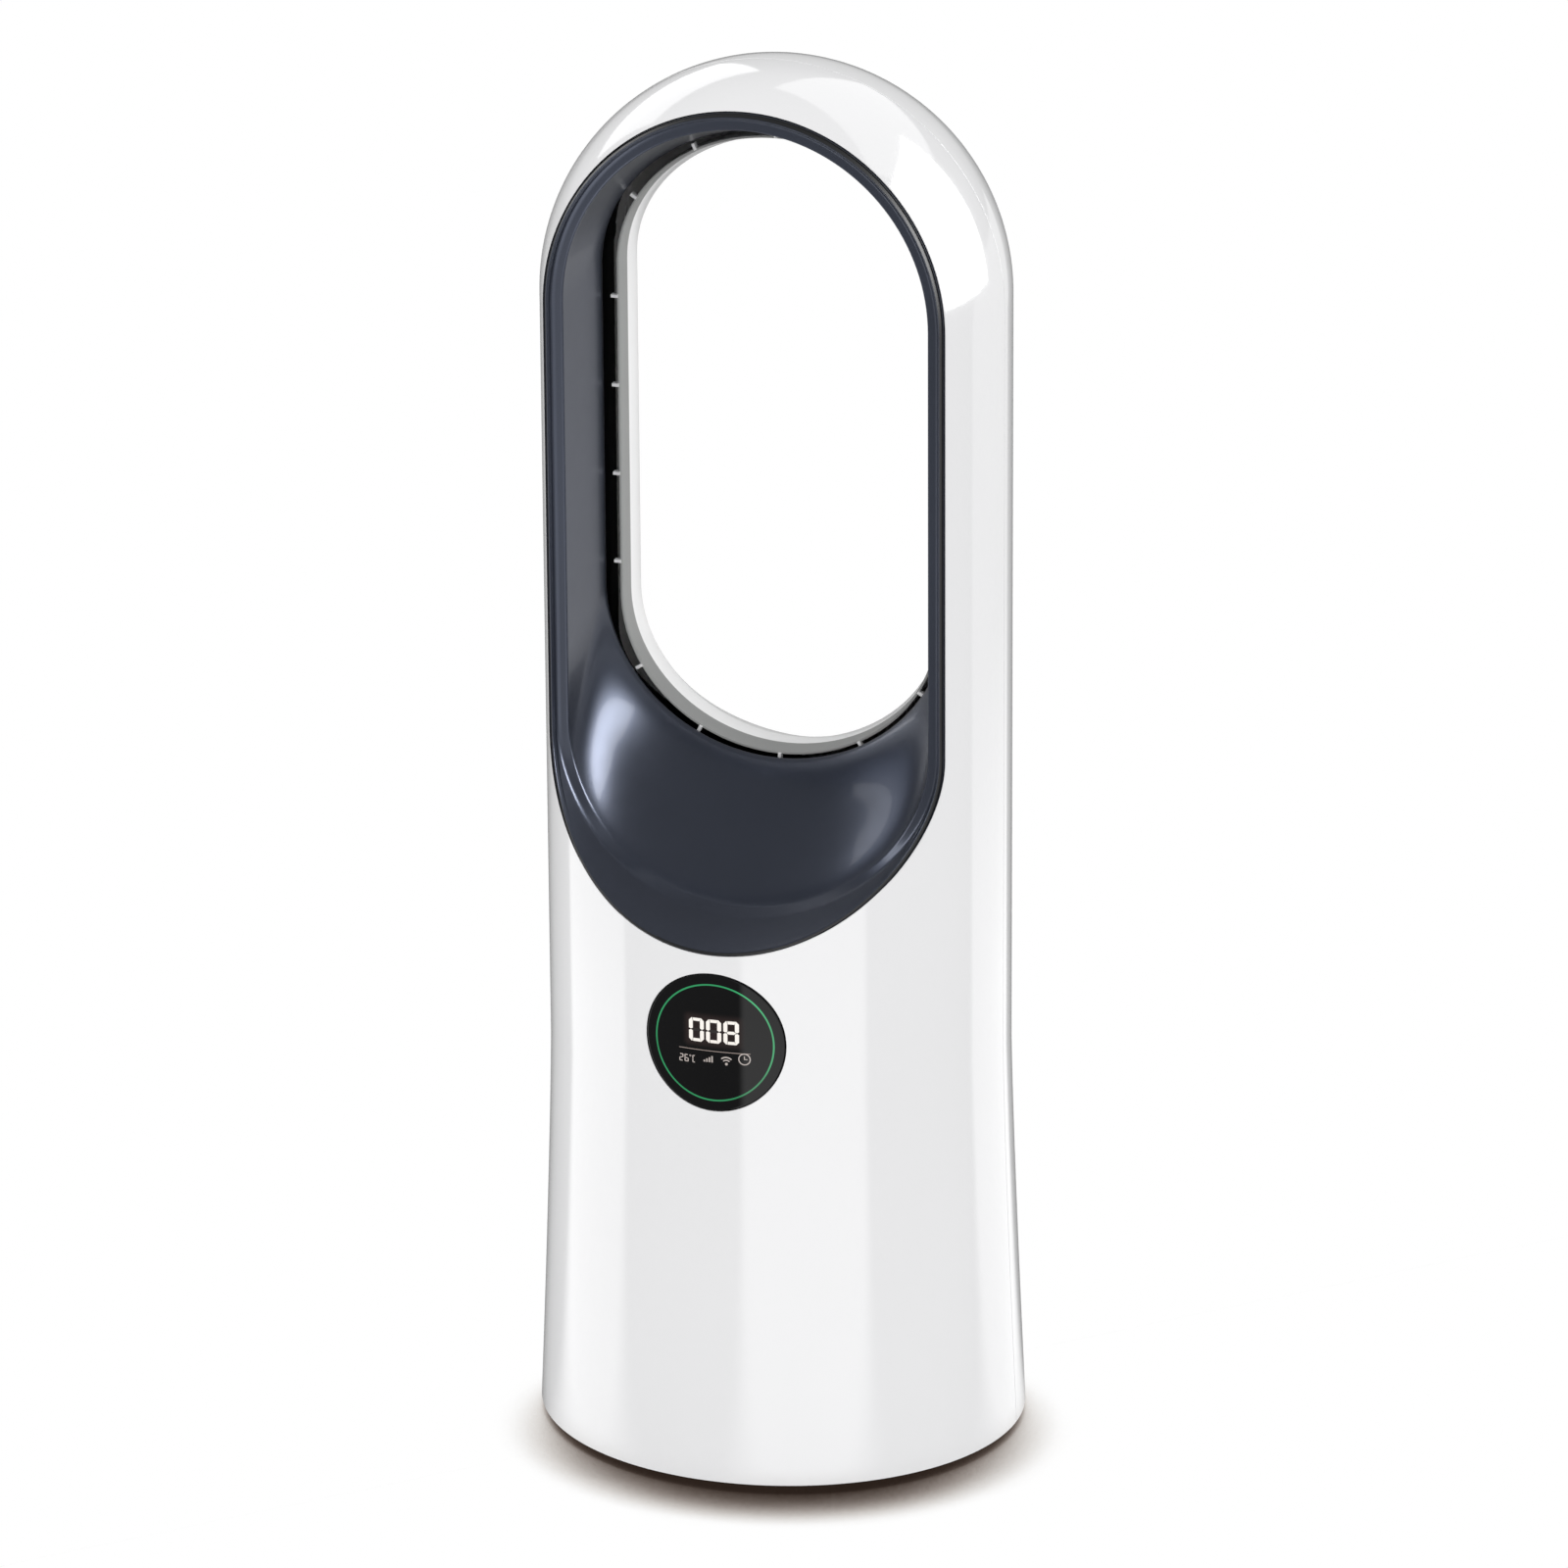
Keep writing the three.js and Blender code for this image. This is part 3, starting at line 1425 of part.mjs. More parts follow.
function buildDeck() {
  const deck = new THREE.Group();
  place(deck, 'turntable_deck', turntableDeck(), plasticBlack);
  place(deck, 'spindle_bush', spindleBush(), brass);
  place(deck, 'retaining_washer', retainingWasher(), steel);
  place(deck, 'retaining_clip', retainingClip(), steel);
  place(deck, 'power_board', powerBoard(), boardGreen, powerBoardX);
  place(deck, 'air_sensor', airSensor(), plasticBlack, sensorX);
  place(deck, 'power_inlet', powerInlet(), plasticBlack);
  const shellScrew = screw(deckThickness + shellBossHeight / 2);
  [...shellBossPlaces(true), ...shellBossPlaces(false)].forEach(([x, y], i) => {
    place(deck, `shell_screw_${i + 1}`, shellScrew, steel, x, y, deckBottom - fit);
  });
  return deck;
}

function buildBlower() {
  const blower = new THREE.Group();
  place(blower, 'bulkhead', bulkhead(), plasticGrey);
  place(blower, 'inlet_bellmouth', inletBellmouth(), plasticBlack);
  place(blower, 'blower_casing', blowerCasing(), plasticGrey);
  mountPlaces.forEach(([x, y], i) => {
    place(blower, `vibration_mount_${i + 1}`, vibrationMount(), rubberBlack, x, y, casingBottom);
  });
  place(blower, 'impeller', impeller(), plasticBlack);
  place(blower, 'motor_shaft', motorShaft(), steel);
  place(blower, 'impeller_nut', impellerNut(), brass);
  place(blower, 'shaft_bearing', shaftBearing(), steel);
  place(blower, 'diffuser', diffuser(), plasticGrey);
  place(blower, 'blower_motor', blowerMotor(), aluminium);
  place(blower, 'motor_isolator', motorIsolator(), rubberBlack);
  place(blower, 'motor_cap', motorCap(), plasticGrey);
  return blower;
}

function buildIntake() {
  const intake = new THREE.Group();
  place(intake, 'intake_cover', intakeCover(), shellWhite);
  place(intake, 'filter_frame', filterFrame(), plasticGrey);
  place(intake, 'filter_media', filterMedia(), filterPaper);
  return intake;
}

function buildDisplay() {
  const display = new THREE.Group();
  place(display, 'display_lens', displayLens(), lensBlack);
  place(display, 'light_ring', lightRing(), lightGreen);
  place(display, 'digit_module', digitModule(), plasticGrey);
  place(display, 'display_board', displayBoard(), boardGreen);
  place(display, 'display_housing', displayHousing(), plasticBlack);
  place(display, 'display_cable', displayCable(), rubberBlack);
  return display;
}

function buildOuter() {
  const outer = new THREE.Group();
  place(outer, 'front_shell', frontShell(), shellWhite);
  place(outer, 'rear_shell', rearShell(), shellWhite);
  place(outer, 'throat_liner', throatLiner(), slate);
  place(outer, 'nozzle_ring', nozzleRing(), ringWhite);
  place(outer, 'nozzle_seal', nozzleSeal(), rubberBlack);
  return outer;
}

fan.add(
  buildBase(),
  buildSwivelDrive(),
  buildDeck(),
  buildBlower(),
  buildIntake(),
  buildDisplay(),
  buildOuter(),
);

export default fan;
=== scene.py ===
import json
import math

import bmesh
import bpy
import numpy as np
from mathutils import Matrix, Vector
from mathutils.geometry import delaunay_2d_cdt


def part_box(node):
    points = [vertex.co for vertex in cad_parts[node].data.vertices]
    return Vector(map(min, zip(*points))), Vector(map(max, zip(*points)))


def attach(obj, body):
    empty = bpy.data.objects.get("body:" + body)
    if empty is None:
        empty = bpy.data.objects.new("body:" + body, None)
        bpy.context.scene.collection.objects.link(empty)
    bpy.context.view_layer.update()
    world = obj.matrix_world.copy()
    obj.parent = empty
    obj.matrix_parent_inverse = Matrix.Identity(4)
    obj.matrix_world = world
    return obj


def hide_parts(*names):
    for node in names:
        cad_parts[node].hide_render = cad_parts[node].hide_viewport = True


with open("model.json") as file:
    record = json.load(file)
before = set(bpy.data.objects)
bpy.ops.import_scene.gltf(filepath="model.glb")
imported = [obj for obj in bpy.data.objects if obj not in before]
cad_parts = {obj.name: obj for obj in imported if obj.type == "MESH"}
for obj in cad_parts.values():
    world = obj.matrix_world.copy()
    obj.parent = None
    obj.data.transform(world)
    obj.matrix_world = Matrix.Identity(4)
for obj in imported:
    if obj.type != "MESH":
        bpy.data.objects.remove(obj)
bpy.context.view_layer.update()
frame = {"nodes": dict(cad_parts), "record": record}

# Lengths in this file are in millimetres until a mesh is made. +Z is up and the front faces -Y.
MM = 0.001

# ---------------------------------------------------------------- the fan's driving sizes
HALF_WIDTH = 100.0
HALF_DEPTH = 93.4
HEIGHT = 607.0
DOME_Z = HEIGHT - HALF_WIDTH
DEPTH_SCALE = HALF_DEPTH / HALF_WIDTH
FLARE_WIDTH = 6.7
FLARE_HEIGHT = 175.0
FLARE_CURVE = 1.25
SHELL_BOTTOM = 4.0
SHELL_WALL = 2.5
FIT = 0.3
SEAM_HALF_GAP = 0.15
DISPLAY_Z = 203.1
LENS_RADIUS = 30.7


def body_radius(z):
    share = np.clip((FLARE_HEIGHT - np.asarray(z, float)) / FLARE_HEIGHT, 0, None)
    return HALF_WIDTH + FLARE_WIDTH * share ** FLARE_CURVE


def surface_depth(x, z):
    rise = np.clip(z - DOME_Z, 0, None)
    share = 1 - (x / body_radius(z)) ** 2 - (rise / HALF_WIDTH) ** 2
    return DEPTH_SCALE * body_radius(z) * np.sqrt(np.clip(share, 0, None))


# ---------------------------------------------------------------- the capsule laid flat
# A point (u, v) of the plane is a place on the capsule's front: v is the height on the straight part, and
# the distance from the middle line, over ARC, is the angle that the surface has turned through.
ARC = 100.0


def to_plane(points, inset=0.0):
    x, z = np.asarray(points, float).T
    rise = np.clip(z - DOME_Z, 0, None)
    radius = body_radius(z) - inset
    out = np.hypot(x, rise)
    angle = np.arcsin(np.clip(out / radius, 0, 1))
    scale = np.where(out > 1e-9, ARC * angle / np.maximum(out, 1e-9), ARC / radius)
    return np.column_stack([x * scale, np.where(rise > 0, DOME_Z + rise * scale, z)])


def from_plane(points, inset=0.0):
    u, v = np.asarray(points, float).T
    rise = np.clip(v - DOME_Z, 0, None)
    radius = body_radius(v) - inset
    out = np.hypot(u, rise)
    angle = out / ARC
    scale = np.where(out > 1e-9, radius * np.sin(angle) / np.maximum(out, 1e-9), radius / ARC)
    z = np.where(rise > 0, DOME_Z + rise * scale, v)
    return np.column_stack([u * scale, -DEPTH_SCALE * radius * np.cos(angle), z])


def surface_normals(points):
    x, y, z = points.T
    rise = np.clip(z - DOME_Z, 0, None)
    step = 0.01
    slope = (body_radius(z + step) - body_radius(z - step)) / (2 * step)
    normals = np.column_stack([x, y / DEPTH_SCALE ** 2, np.where(rise > 0, rise, -body_radius(z) * slope)])
    return normals / np.linalg.norm(normals, axis=1)[:, None]


# ---------------------------------------------------------------- loops
def oval(half_width, top_centre, top_radius, bottom_centre, bottom_radius):
    return np.array([half_width, top_centre, top_radius, bottom_centre, bottom_radius], float)


def grown(shape, by):
    return shape + np.array([by, 0, by, 0, by])


def oval_points(shape, top=72, side=40, bottom=84):
    """Points round an oval, anticlockwise from its right side, and each one's share of the lower half."""
    width, top_z, top_r, low_z, low_r = shape
    points, low = [], []
    for a in np.linspace(0, math.pi, top + 1):
        points.append((width * math.cos(a), top_z + top_r * math.sin(a)))
        low.append(0.0)
    for t in np.linspace(0, 1, side + 1)[1:-1]:
        points.append((-width, top_z + (low_z - top_z) * t))
        low.append(0.0)
    for a in np.linspace(math.pi, 2 * math.pi, bottom + 1):
        points.append((width * math.cos(a), low_z + low_r * math.sin(a)))
        low.append(math.sin(a) ** 2)
    for t in np.linspace(1, 0, side + 1)[1:-1]:
        points.append((width, top_z + (low_z - top_z) * t))
        low.append(0.0)
    return np.array(points), np.array(low)


def circle(radius, x=0.0, z=0.0, count=96):
    a = np.arange(count) / count * 2 * math.pi
    return np.column_stack([x + radius * np.cos(a), z + radius * np.sin(a)])


def rounded_rectangle(x0, x1, z0, z1, corner, step=3.0, corner_steps=8):
    points = []
    left, right, low, high = x0 + corner, x1 - corner, z0 + corner, z1 - corner
    quarters = [(right, high), (left, high), (left, low), (right, low)]
    for q, (cx, cz) in enumerate(quarters):
        for i in range(corner_steps + 1):
            a = (q + i / corner_steps) * math.pi / 2
            points.append((cx + corner * math.cos(a), cz + corner * math.sin(a)))
    return divided(np.array(points), step)


def divided(points, step):
    """The closed loop with its long sides cut into steps."""
    out = []
    for a, b in zip(points, np.roll(points, -1, axis=0)):
        count = max(1, int(round(np.linalg.norm(b - a) / step)))
        out += [a + (b - a) * i / count for i in range(count)]
    return np.array(out)


def offset_loop(points, by):
    """An anticlockwise loop moved outwards by a distance."""
    before, after = np.roll(points, 1, axis=0), np.roll(points, -1, axis=0)
    along = after - before
    out = np.column_stack([along[:, 1], -along[:, 0]])
    return points + by * out / np.linalg.norm(out, axis=1)[:, None]


# ---------------------------------------------------------------- skins: pieces of the capsule with a wall
class Skin:
    """Collects corners and faces, with a normal for each face corner."""

    def __init__(self):
        self.points, self.faces, self.normals = [], [], []
        self.count = 0

    def add(self, points):
        start = self.count
        self.points.append(np.asarray(points, float))
        self.count += len(points)
        return start

    def face(self, corners, normals):
        self.faces.append(tuple(int(c) for c in corners))
        self.normals += [tuple(n) for n in normals]

    def strip(self, first, second, first_normals, second_normals):
        """Quads between two closed rings of corner numbers."""
        n = len(first)
        for i in range(n):
            j = (i + 1) % n
            self.face(
                (first[j], first[i], second[i], second[j]),
                (first_normals[j], first_normals[i], second_normals[i], second_normals[j]),
            )


def inside_mask(points, loop):
    x, y = points.T
    inside = np.zeros(len(points), bool)
    for (x0, y0), (x1, y1) in zip(loop, np.roll(loop, -1, axis=0)):
        if y0 == y1:
            continue
        cross = (y0 > y) != (y1 > y)
        at = x0 + (y - y0) * (x1 - x0) / (y1 - y0)
        inside ^= cross & (x < at)
    return inside


def near_mask(points, loop, distance):
    near = np.zeros(len(points), bool)
    lo, hi = loop.min(0) - distance, loop.max(0) + distance
    where = np.flatnonzero(((points > lo) & (points < hi)).all(1))
    chosen = points[where]
    best = np.full(len(chosen), np.inf)
    for a, b in zip(loop, np.roll(loop, -1, axis=0)):
        d = b - a
        t = np.clip((chosen - a) @ d / max(d @ d, 1e-12), 0, 1)
        best = np.minimum(best, np.linalg.norm(chosen - a - t[:, None] * d, axis=1))
    near[where[best < distance]] = True
    return near


def triangulated(outline, holes, spacing):
    """Triangles of a flat region. The loops' points come first in the result, in their own order."""
    loops = [outline, *holes]
    lo, hi = outline.min(0), outline.max(0)
    xs = np.arange(lo[0] + spacing / 2, hi[0], spacing)
    ys = np.arange(lo[1] + spacing / 2, hi[1], spacing)
    gx, gy = np.meshgrid(xs, ys)
    gx = gx + np.where(np.arange(len(ys)) % 2, spacing / 4, -spacing / 4)[:, None]
    grid = np.column_stack([gx.ravel(), gy.ravel()])
    keep = inside_mask(grid, outline)
    for hole in holes:
        keep &= ~inside_mask(grid, hole)
    for loop in loops:
        keep &= ~near_mask(grid, loop, spacing * 0.45)
    points = np.vstack([*loops, grid[keep]])
    edges, start = [], 0
    for loop in loops:
        n = len(loop)
        edges += [(start + i, start + (i + 1) % n) for i in range(n)]
        start += n
    out = delaunay_2d_cdt([Vector(p) for p in points], edges, [], 0, 1e-7)
    source = [ids[0] for ids in out[3]]
    triangles = np.array([[source[c] for c in face] for face in out[2]])
    middle = points[triangles].mean(1)
    keep = inside_mask(middle, outline)
    for hole in holes:
        keep &= ~inside_mask(middle, hole)
    triangles = triangles[keep]
    a, b, c = (points[triangles[:, i]] for i in range(3))
    turn = (b - a)[:, 0] * (c - a)[:, 1] - (b - a)[:, 1] * (c - a)[:, 0]
    triangles[turn < 0] = triangles[turn < 0][:, ::-1]
    return points, triangles


def add_skin(skin, rims, lift, wall, spacing, fillet_steps=3):
    """One piece of the capsule. Each rim is (a, b, c, d): its edge on the outer surface before the rounding,
    the sharp corner, the end of the rounding on the wall, and the edge on the inner surface. a and d are in
    the plane, b and c in space. The first rim is the outline, anticlockwise, and the others are holes."""
    outer, outer_faces = triangulated(rims[0][0], [r[0] for r in rims[1:]], spacing)
    inner, inner_faces = triangulated(rims[0][3], [r[3] for r in rims[1:]], spacing * 1.6)
    outer_points = from_plane(outer, -lift)
    inner_points = from_plane(inner, wall - lift)
    outer_normals = surface_normals(outer_points)
    inner_normals = -surface_normals(inner_points)
    top, low = skin.add(outer_points), skin.add(inner_points)
    for face in outer_faces:
        skin.face(face + top, outer_normals[face])
    for face in inner_faces[:, ::-1]:
        skin.face(face + low, inner_normals[face])
    start_outer = start_inner = 0
    for number, (a, b, c, d) in enumerate(rims):
        n = len(a)
        order = np.arange(n) if number == 0 else np.arange(n)[::-1]
        ring = order + start_outer
        last = order + start_inner
        on_top, corner, on_wall = outer_points[ring], b[order], c[order]
        on_inner = inner_points[last]
        along = np.roll(corner, -1, axis=0) - np.roll(corner, 1, axis=0)
        side = np.cross(on_inner - on_wall, along)
        side /= np.maximum(np.linalg.norm(side, axis=1), 1e-9)[:, None]
        flip = np.einsum("ij,ij->i", side, corner - on_top) < 0
        side[flip] *= -1
        before, before_normals = ring + top, outer_normals[ring]
        for step in range(1, fillet_steps + 1):
            t = step / fillet_steps
            points = (1 - t) ** 2 * on_top + 2 * t * (1 - t) * corner + t * t * on_wall
            normals = (1 - t) * outer_normals[ring] + t * side
            normals /= np.maximum(np.linalg.norm(normals, axis=1), 1e-9)[:, None]
            now = np.arange(n) + skin.add(points)
            skin.strip(before, now, before_normals, normals)
            before, before_normals = now, normals
        skin.strip(before, last + low, side, side)
        start_outer += n
        start_inner += n


def skin_object(name, skin, back=False):
    points = np.vstack(skin.points)
    normals = np.array(skin.normals)
    faces = skin.faces
    if back:
        points = points * (1, -1, 1)
        normals = normals * (1, -1, 1)
        flipped, out, at = [], [], 0
        for face in faces:
            n = len(face)
            flipped.append(face[::-1])
            out.append(normals[at:at + n][::-1])
            at += n
        faces, normals = flipped, np.vstack(out)
    mesh = bpy.data.meshes.new(name)
    mesh.from_pydata((points * MM).tolist(), [], faces)
    mesh.polygons.foreach_set("use_smooth", [True] * len(mesh.polygons))
    mesh.normals_split_custom_set(normals.tolist())
    return linked(bpy.data.objects.new(name, mesh))


def linked(obj):
    bpy.context.scene.collection.objects.link(obj)
    return obj


def cut_rim(points, lift, wall, fillet, is_hole):
    """The rim of a loop in X and Z that is cut straight through along Y."""
    eased = offset_loop(points, fillet if is_hole else -fillet)
    corner = from_plane(to_plane(points, -lift), -lift)
    on_wall = corner + (0, min(fillet, wall * 0.4), 0)
    return to_plane(eased, -lift), corner, on_wall, to_plane(points, wall - lift)


def shell_rim(fillet):
    """The rim of half the tower: the bottom edge and the parting line at Y = 0 over the crown."""
    rows = []
    bottom_steps, side_steps, dome_steps = 110, 90, 90

    def seam_angle(radius):
        return np.arccos(SEAM_HALF_GAP / (DEPTH_SCALE * radius))

    for i in range(bottom_steps + 1):
        rows.append(("bottom", 2 * i / bottom_steps - 1, 0))
    for i in range(1, side_steps):
        rows.append(("seam", 1, SHELL_BOTTOM + (DOME_Z - SHELL_BOTTOM) * (i / side_steps)))
    for i in range(dome_steps + 1):
        rows.append(("dome", math.pi * i / dome_steps, 0))
    for i in range(side_steps - 1, 0, -1):
        rows.append(("seam", -1, SHELL_BOTTOM + (DOME_Z - SHELL_BOTTOM) * (i / side_steps)))
    eased, corner, on_wall, inner = [], [], [], []
    for kind, value, height in rows:
        z = {"bottom": SHELL_BOTTOM, "seam": height, "dome": DOME_Z}[kind]
        radius = float(body_radius(z))
        edge = ARC * seam_angle(radius)
        near = edge - ARC * fillet / radius
        within = ARC * seam_angle(radius - SHELL_WALL)
        if kind == "bottom":
            spots = [(near * value, z + fillet), (edge * value, z), (within * value, z)]
            pull = None
        elif kind == "seam":
            spots = [(near * value, z), (edge * value, z), (within * value, z)]
            pull = (value, 0)
        else:
            way = (math.cos(value), math.sin(value))
            spots = [(r * way[0], DOME_Z + r * way[1]) for r in (near, edge, within)]
            pull = way
        point = from_plane([spots[1]])[0]
        if pull is None:
            out = point[:2] / np.linalg.norm(point[:2])
            away = point - fillet * np.array([out[0], out[1], 0])
            if abs(value) == 1:
                away = point - fillet * np.array([value, 0, 0])
        else:
            away = point - fillet * np.array([pull[0], 0, pull[1]])
        eased.append(spots[0])
        corner.append(point)
        on_wall.append(away)
        inner.append(spots[2])
    return np.array(eased), np.array(corner), np.array(on_wall), np.array(inner)


# ---------------------------------------------------------------- the window's shapes
OPENING = oval(87.5, DOME_Z, 88.5, 321.6, 79.4)
LEDGE = oval(OPENING[0] - 3.3, DOME_Z, OPENING[2] - 3.3, OPENING[3], OPENING[4] - 7.4)
CREASE = oval(OPENING[0] - 7.8, DOME_Z, OPENING[2] - 7.8, OPENING[3], OPENING[4] - 9.8)
CREASE_TOP = DOME_Z + CREASE[2]
CREASE_BOTTOM = CREASE[3] - CREASE[4]
THROAT_TOP = CREASE_TOP - 10.2
THROAT_BOTTOM = CREASE_BOTTOM + 48.2
RING_TOP = THROAT_TOP - 8.7
RING_BOTTOM = THROAT_BOTTOM + 2.0
RING_CENTRE = DOME_Z + 5.3
RING_BOTTOM_RADIUS = 64.0
THROAT_BOTTOM_RADIUS = 72.0
THROAT = oval(CREASE[0] - 3.7, RING_CENTRE, THROAT_TOP - RING_CENTRE, THROAT_BOTTOM + THROAT_BOTTOM_RADIUS,
              THROAT_BOTTOM_RADIUS)
RING = oval(THROAT[0] - 8.0, RING_CENTRE, RING_TOP - RING_CENTRE, RING_BOTTOM + RING_BOTTOM_RADIUS,
            RING_BOTTOM_RADIUS)
RING_CROWN = RING + (1.7, 0, 2.2, 0, 0)
RING_LIP = RING + (2.0, 0, 3.7, 0, 0.7)
RING_BELL_CURVE = 1.15
REAR = oval(85, DOME_Z, 85, 340, 70)
LEDGE_SIDE_Y, LEDGE_BOTTOM_Y = -44.6, -66
CREASE_SIDE_Y, CREASE_BOTTOM_Y = -44, -58
THROAT_END_Y = -4.0
ROLL = 5.0
RING_LIP_Y = THROAT_END_Y + 5
RING_CROWN_Y = RING_LIP_Y + 10
RING_THROAT_Y = RING_LIP_Y + 18
LINER_WALL = 2.2
RING_WALL = 2.5
LIP_WIDTH = 1.5
EDGE_LINE_DEPTH = 0.12
LINER_EDGE_DEPTH = 5.0
RING_EDGE_DEPTH = 12.0


def rail(shape, side_y, bottom_y):
    points, low = oval_points(shape)
    y = side_y + (bottom_y - side_y) * low
    return np.column_stack([points[:, 0], y, points[:, 1]])


def surface_rail(shape, side, sunk):
    points, _ = oval_points(shape)
    x, z = points.T
    return np.column_stack([x, side * (surface_depth(x, z) - sunk), z])


def throat_rail(share):
    shape = CREASE + (THROAT - CREASE) * share
    scoop = (share + share * share * (3 - 2 * share)) / 2
    shape[3] = CREASE_BOTTOM + (THROAT_BOTTOM - CREASE_BOTTOM) * scoop + shape[4]
    side_y = CREASE_SIDE_Y + (THROAT_END_Y - CREASE_SIDE_Y) * share
    bottom_y = CREASE_BOTTOM_Y + (THROAT_END_Y - CREASE_BOTTOM_Y) * share
    return rail(shape, side_y, bottom_y)


def eased_profile(rails, corners, steps=4):
    """The rails with some corners rounded. corners maps a rail's number to how far the rounding reaches."""
    out = []
    for i, here in enumerate(rails):
        if i not in corners:
            out.append(here)
            continue
        before, after = rails[i - 1] - here, rails[i + 1] - here
        lengths = [np.linalg.norm(v, axis=1)[:, None] for v in (before, after)]
        reach = [np.minimum(corners[i], 0.45 * length) for length in lengths]
        a = here + before / lengths[0] * reach[0]
        b = here + after / lengths[1] * reach[1]
        for t in np.linspace(0, 1, steps + 1):
            out.append((1 - t) ** 2 * a + 2 * t * (1 - t) * here + t * t * b)
    return out


def hidden_rails(rails, wall):
    """The rails moved to the hidden side of the surface, in reverse order."""
    out = []
    for i in range(len(rails)):
        before, after = rails[max(0, i - 1)], rails[min(len(rails) - 1, i + 1)]
        along = np.roll(rails[i], -1, axis=0) - np.roll(rails[i], 1, axis=0)
        normal = np.cross(after - before, along)
        normal /= np.maximum(np.linalg.norm(normal, axis=1), 1e-9)[:, None]
        out.append(rails[i] + normal * wall)
    return out[::-1]


def band_object(name, rails, sharp=38):
    """A closed ring of surface through the rails, each of them a closed loop of the same points."""
    n, rows = len(rails[0]), len(rails)
    points = np.vstack(rails)
    faces = []
    for r in range(rows):
        q = (r + 1) % rows
        for i in range(n):
            j = (i + 1) % n
            faces.append((r * n + i, r * n + j, q * n + j, q * n + i))
    return smooth_object(name, points, faces, sharp)


def smooth_object(name, points, faces, sharp=38):
    mesh = bpy.data.meshes.new(name)
    mesh.from_pydata((np.asarray(points) * MM).tolist(), [], faces)
    mesh.validate()
    work = bmesh.new()
    work.from_mesh(mesh)
    bmesh.ops.remove_doubles(work, verts=work.verts, dist=1e-7)
    bmesh.ops.recalc_face_normals(work, faces=work.faces)
    work.to_mesh(mesh)
    work.free()
    mesh.polygons.foreach_set("use_smooth", [True] * len(mesh.polygons))
    mesh.set_sharp_from_angle(angle=math.radians(sharp))
    return linked(bpy.data.objects.new(name, mesh))


# ---------------------------------------------------------------- materials
def shader(name):
    material = bpy.data.materials.new(name)
    material.use_nodes = True
    nodes, links = material.node_tree.nodes, material.node_tree.links
    return material, nodes, links, nodes["Principled BSDF"]


def linear(colour):
    return [((c / 255 + 0.055) / 1.055) ** 2.4 if c > 10 else c / 255 / 12.92 for c in colour]


def moulded(name, colour, roughness, *, spread=0.03, patch=30, grain=600, bump=0.00002, swing=0.03,
            metallic=0.0, coat=0.0, coat_roughness=0.05, specular=0.5, stretch=(1, 1, 1)):
    """A surface whose colour, roughness and relief vary a little, as a moulded or machined one does."""
    material, nodes, links, bsdf = shader(name)
    bsdf.inputs["Metallic"].default_value = metallic
    bsdf.inputs["Coat Weight"].default_value = coat
    bsdf.inputs["Coat Roughness"].default_value = coat_roughness
    bsdf.inputs["Specular IOR Level"].default_value = specular
    where = nodes.new("ShaderNodeTexCoord")
    scale = nodes.new("ShaderNodeMapping")
    scale.inputs["Scale"].default_value = stretch
    links.new(where.outputs["Object"], scale.inputs["Vector"])
    tones = nodes.new("ShaderNodeTexNoise")
    tones.inputs["Scale"].default_value = patch
    tones.inputs["Detail"].default_value = 4
    links.new(scale.outputs["Vector"], tones.inputs["Vector"])
    ramp = nodes.new("ShaderNodeValToRGB")
    base = linear(colour)
    ramp.color_ramp.elements[0].position = 0.3
    ramp.color_ramp.elements[1].position = 0.7
    ramp.color_ramp.elements[0].color = [c * (1 - spread) for c in base] + [1]
    ramp.color_ramp.elements[1].color = [min(1, c * (1 + spread)) for c in base] + [1]
    links.new(tones.outputs["Fac"], ramp.inputs["Fac"])
    links.new(ramp.outputs["Color"], bsdf.inputs["Base Color"])
    fine = nodes.new("ShaderNodeTexNoise")
    fine.inputs["Scale"].default_value = grain
    fine.inputs["Detail"].default_value = 3
    links.new(scale.outputs["Vector"], fine.inputs["Vector"])
    rough = nodes.new("ShaderNodeMapRange")
    rough.inputs["To Min"].default_value = max(0.0, roughness - swing)
    rough.inputs["To Max"].default_value = min(1.0, roughness + swing)
    links.new(fine.outputs["Fac"], rough.inputs["Value"])
    links.new(rough.outputs["Result"], bsdf.inputs["Roughness"])
    relief = nodes.new("ShaderNodeBump")
    relief.inputs["Distance"].default_value = bump
    links.new(fine.outputs["Fac"], relief.inputs["Height"])
    links.new(relief.outputs["Normal"], bsdf.inputs["Normal"])
    return material


def lit(name, colour, strength, dim=0.15):
    """A lit shape under the lens: an emission that is a little uneven, as a light guide's is."""
    material, nodes, links, bsdf = shader(name)
    bsdf.inputs["Base Color"].default_value = (0.01, 0.01, 0.01, 1)
    bsdf.inputs["Roughness"].default_value = 0.12
    where = nodes.new("ShaderNodeTexCoord")
    tones = nodes.new("ShaderNodeTexNoise")
    tones.inputs["Scale"].default_value = 28
    links.new(where.outputs["Object"], tones.inputs["Vector"])
    ramp = nodes.new("ShaderNodeValToRGB")
    base = linear(colour)
    ramp.color_ramp.elements[0].position = 0.35
    ramp.color_ramp.elements[1].position = 0.65
    ramp.color_ramp.elements[0].color = [c * (1 - dim) for c in base] + [1]
    ramp.color_ramp.elements[1].color = [min(1, c * (1 + dim)) for c in base] + [1]
    links.new(tones.outputs["Fac"], ramp.inputs["Fac"])
    links.new(ramp.outputs["Color"], bsdf.inputs["Emission Color"])
    bsdf.inputs["Emission Strength"].default_value = strength
    return material


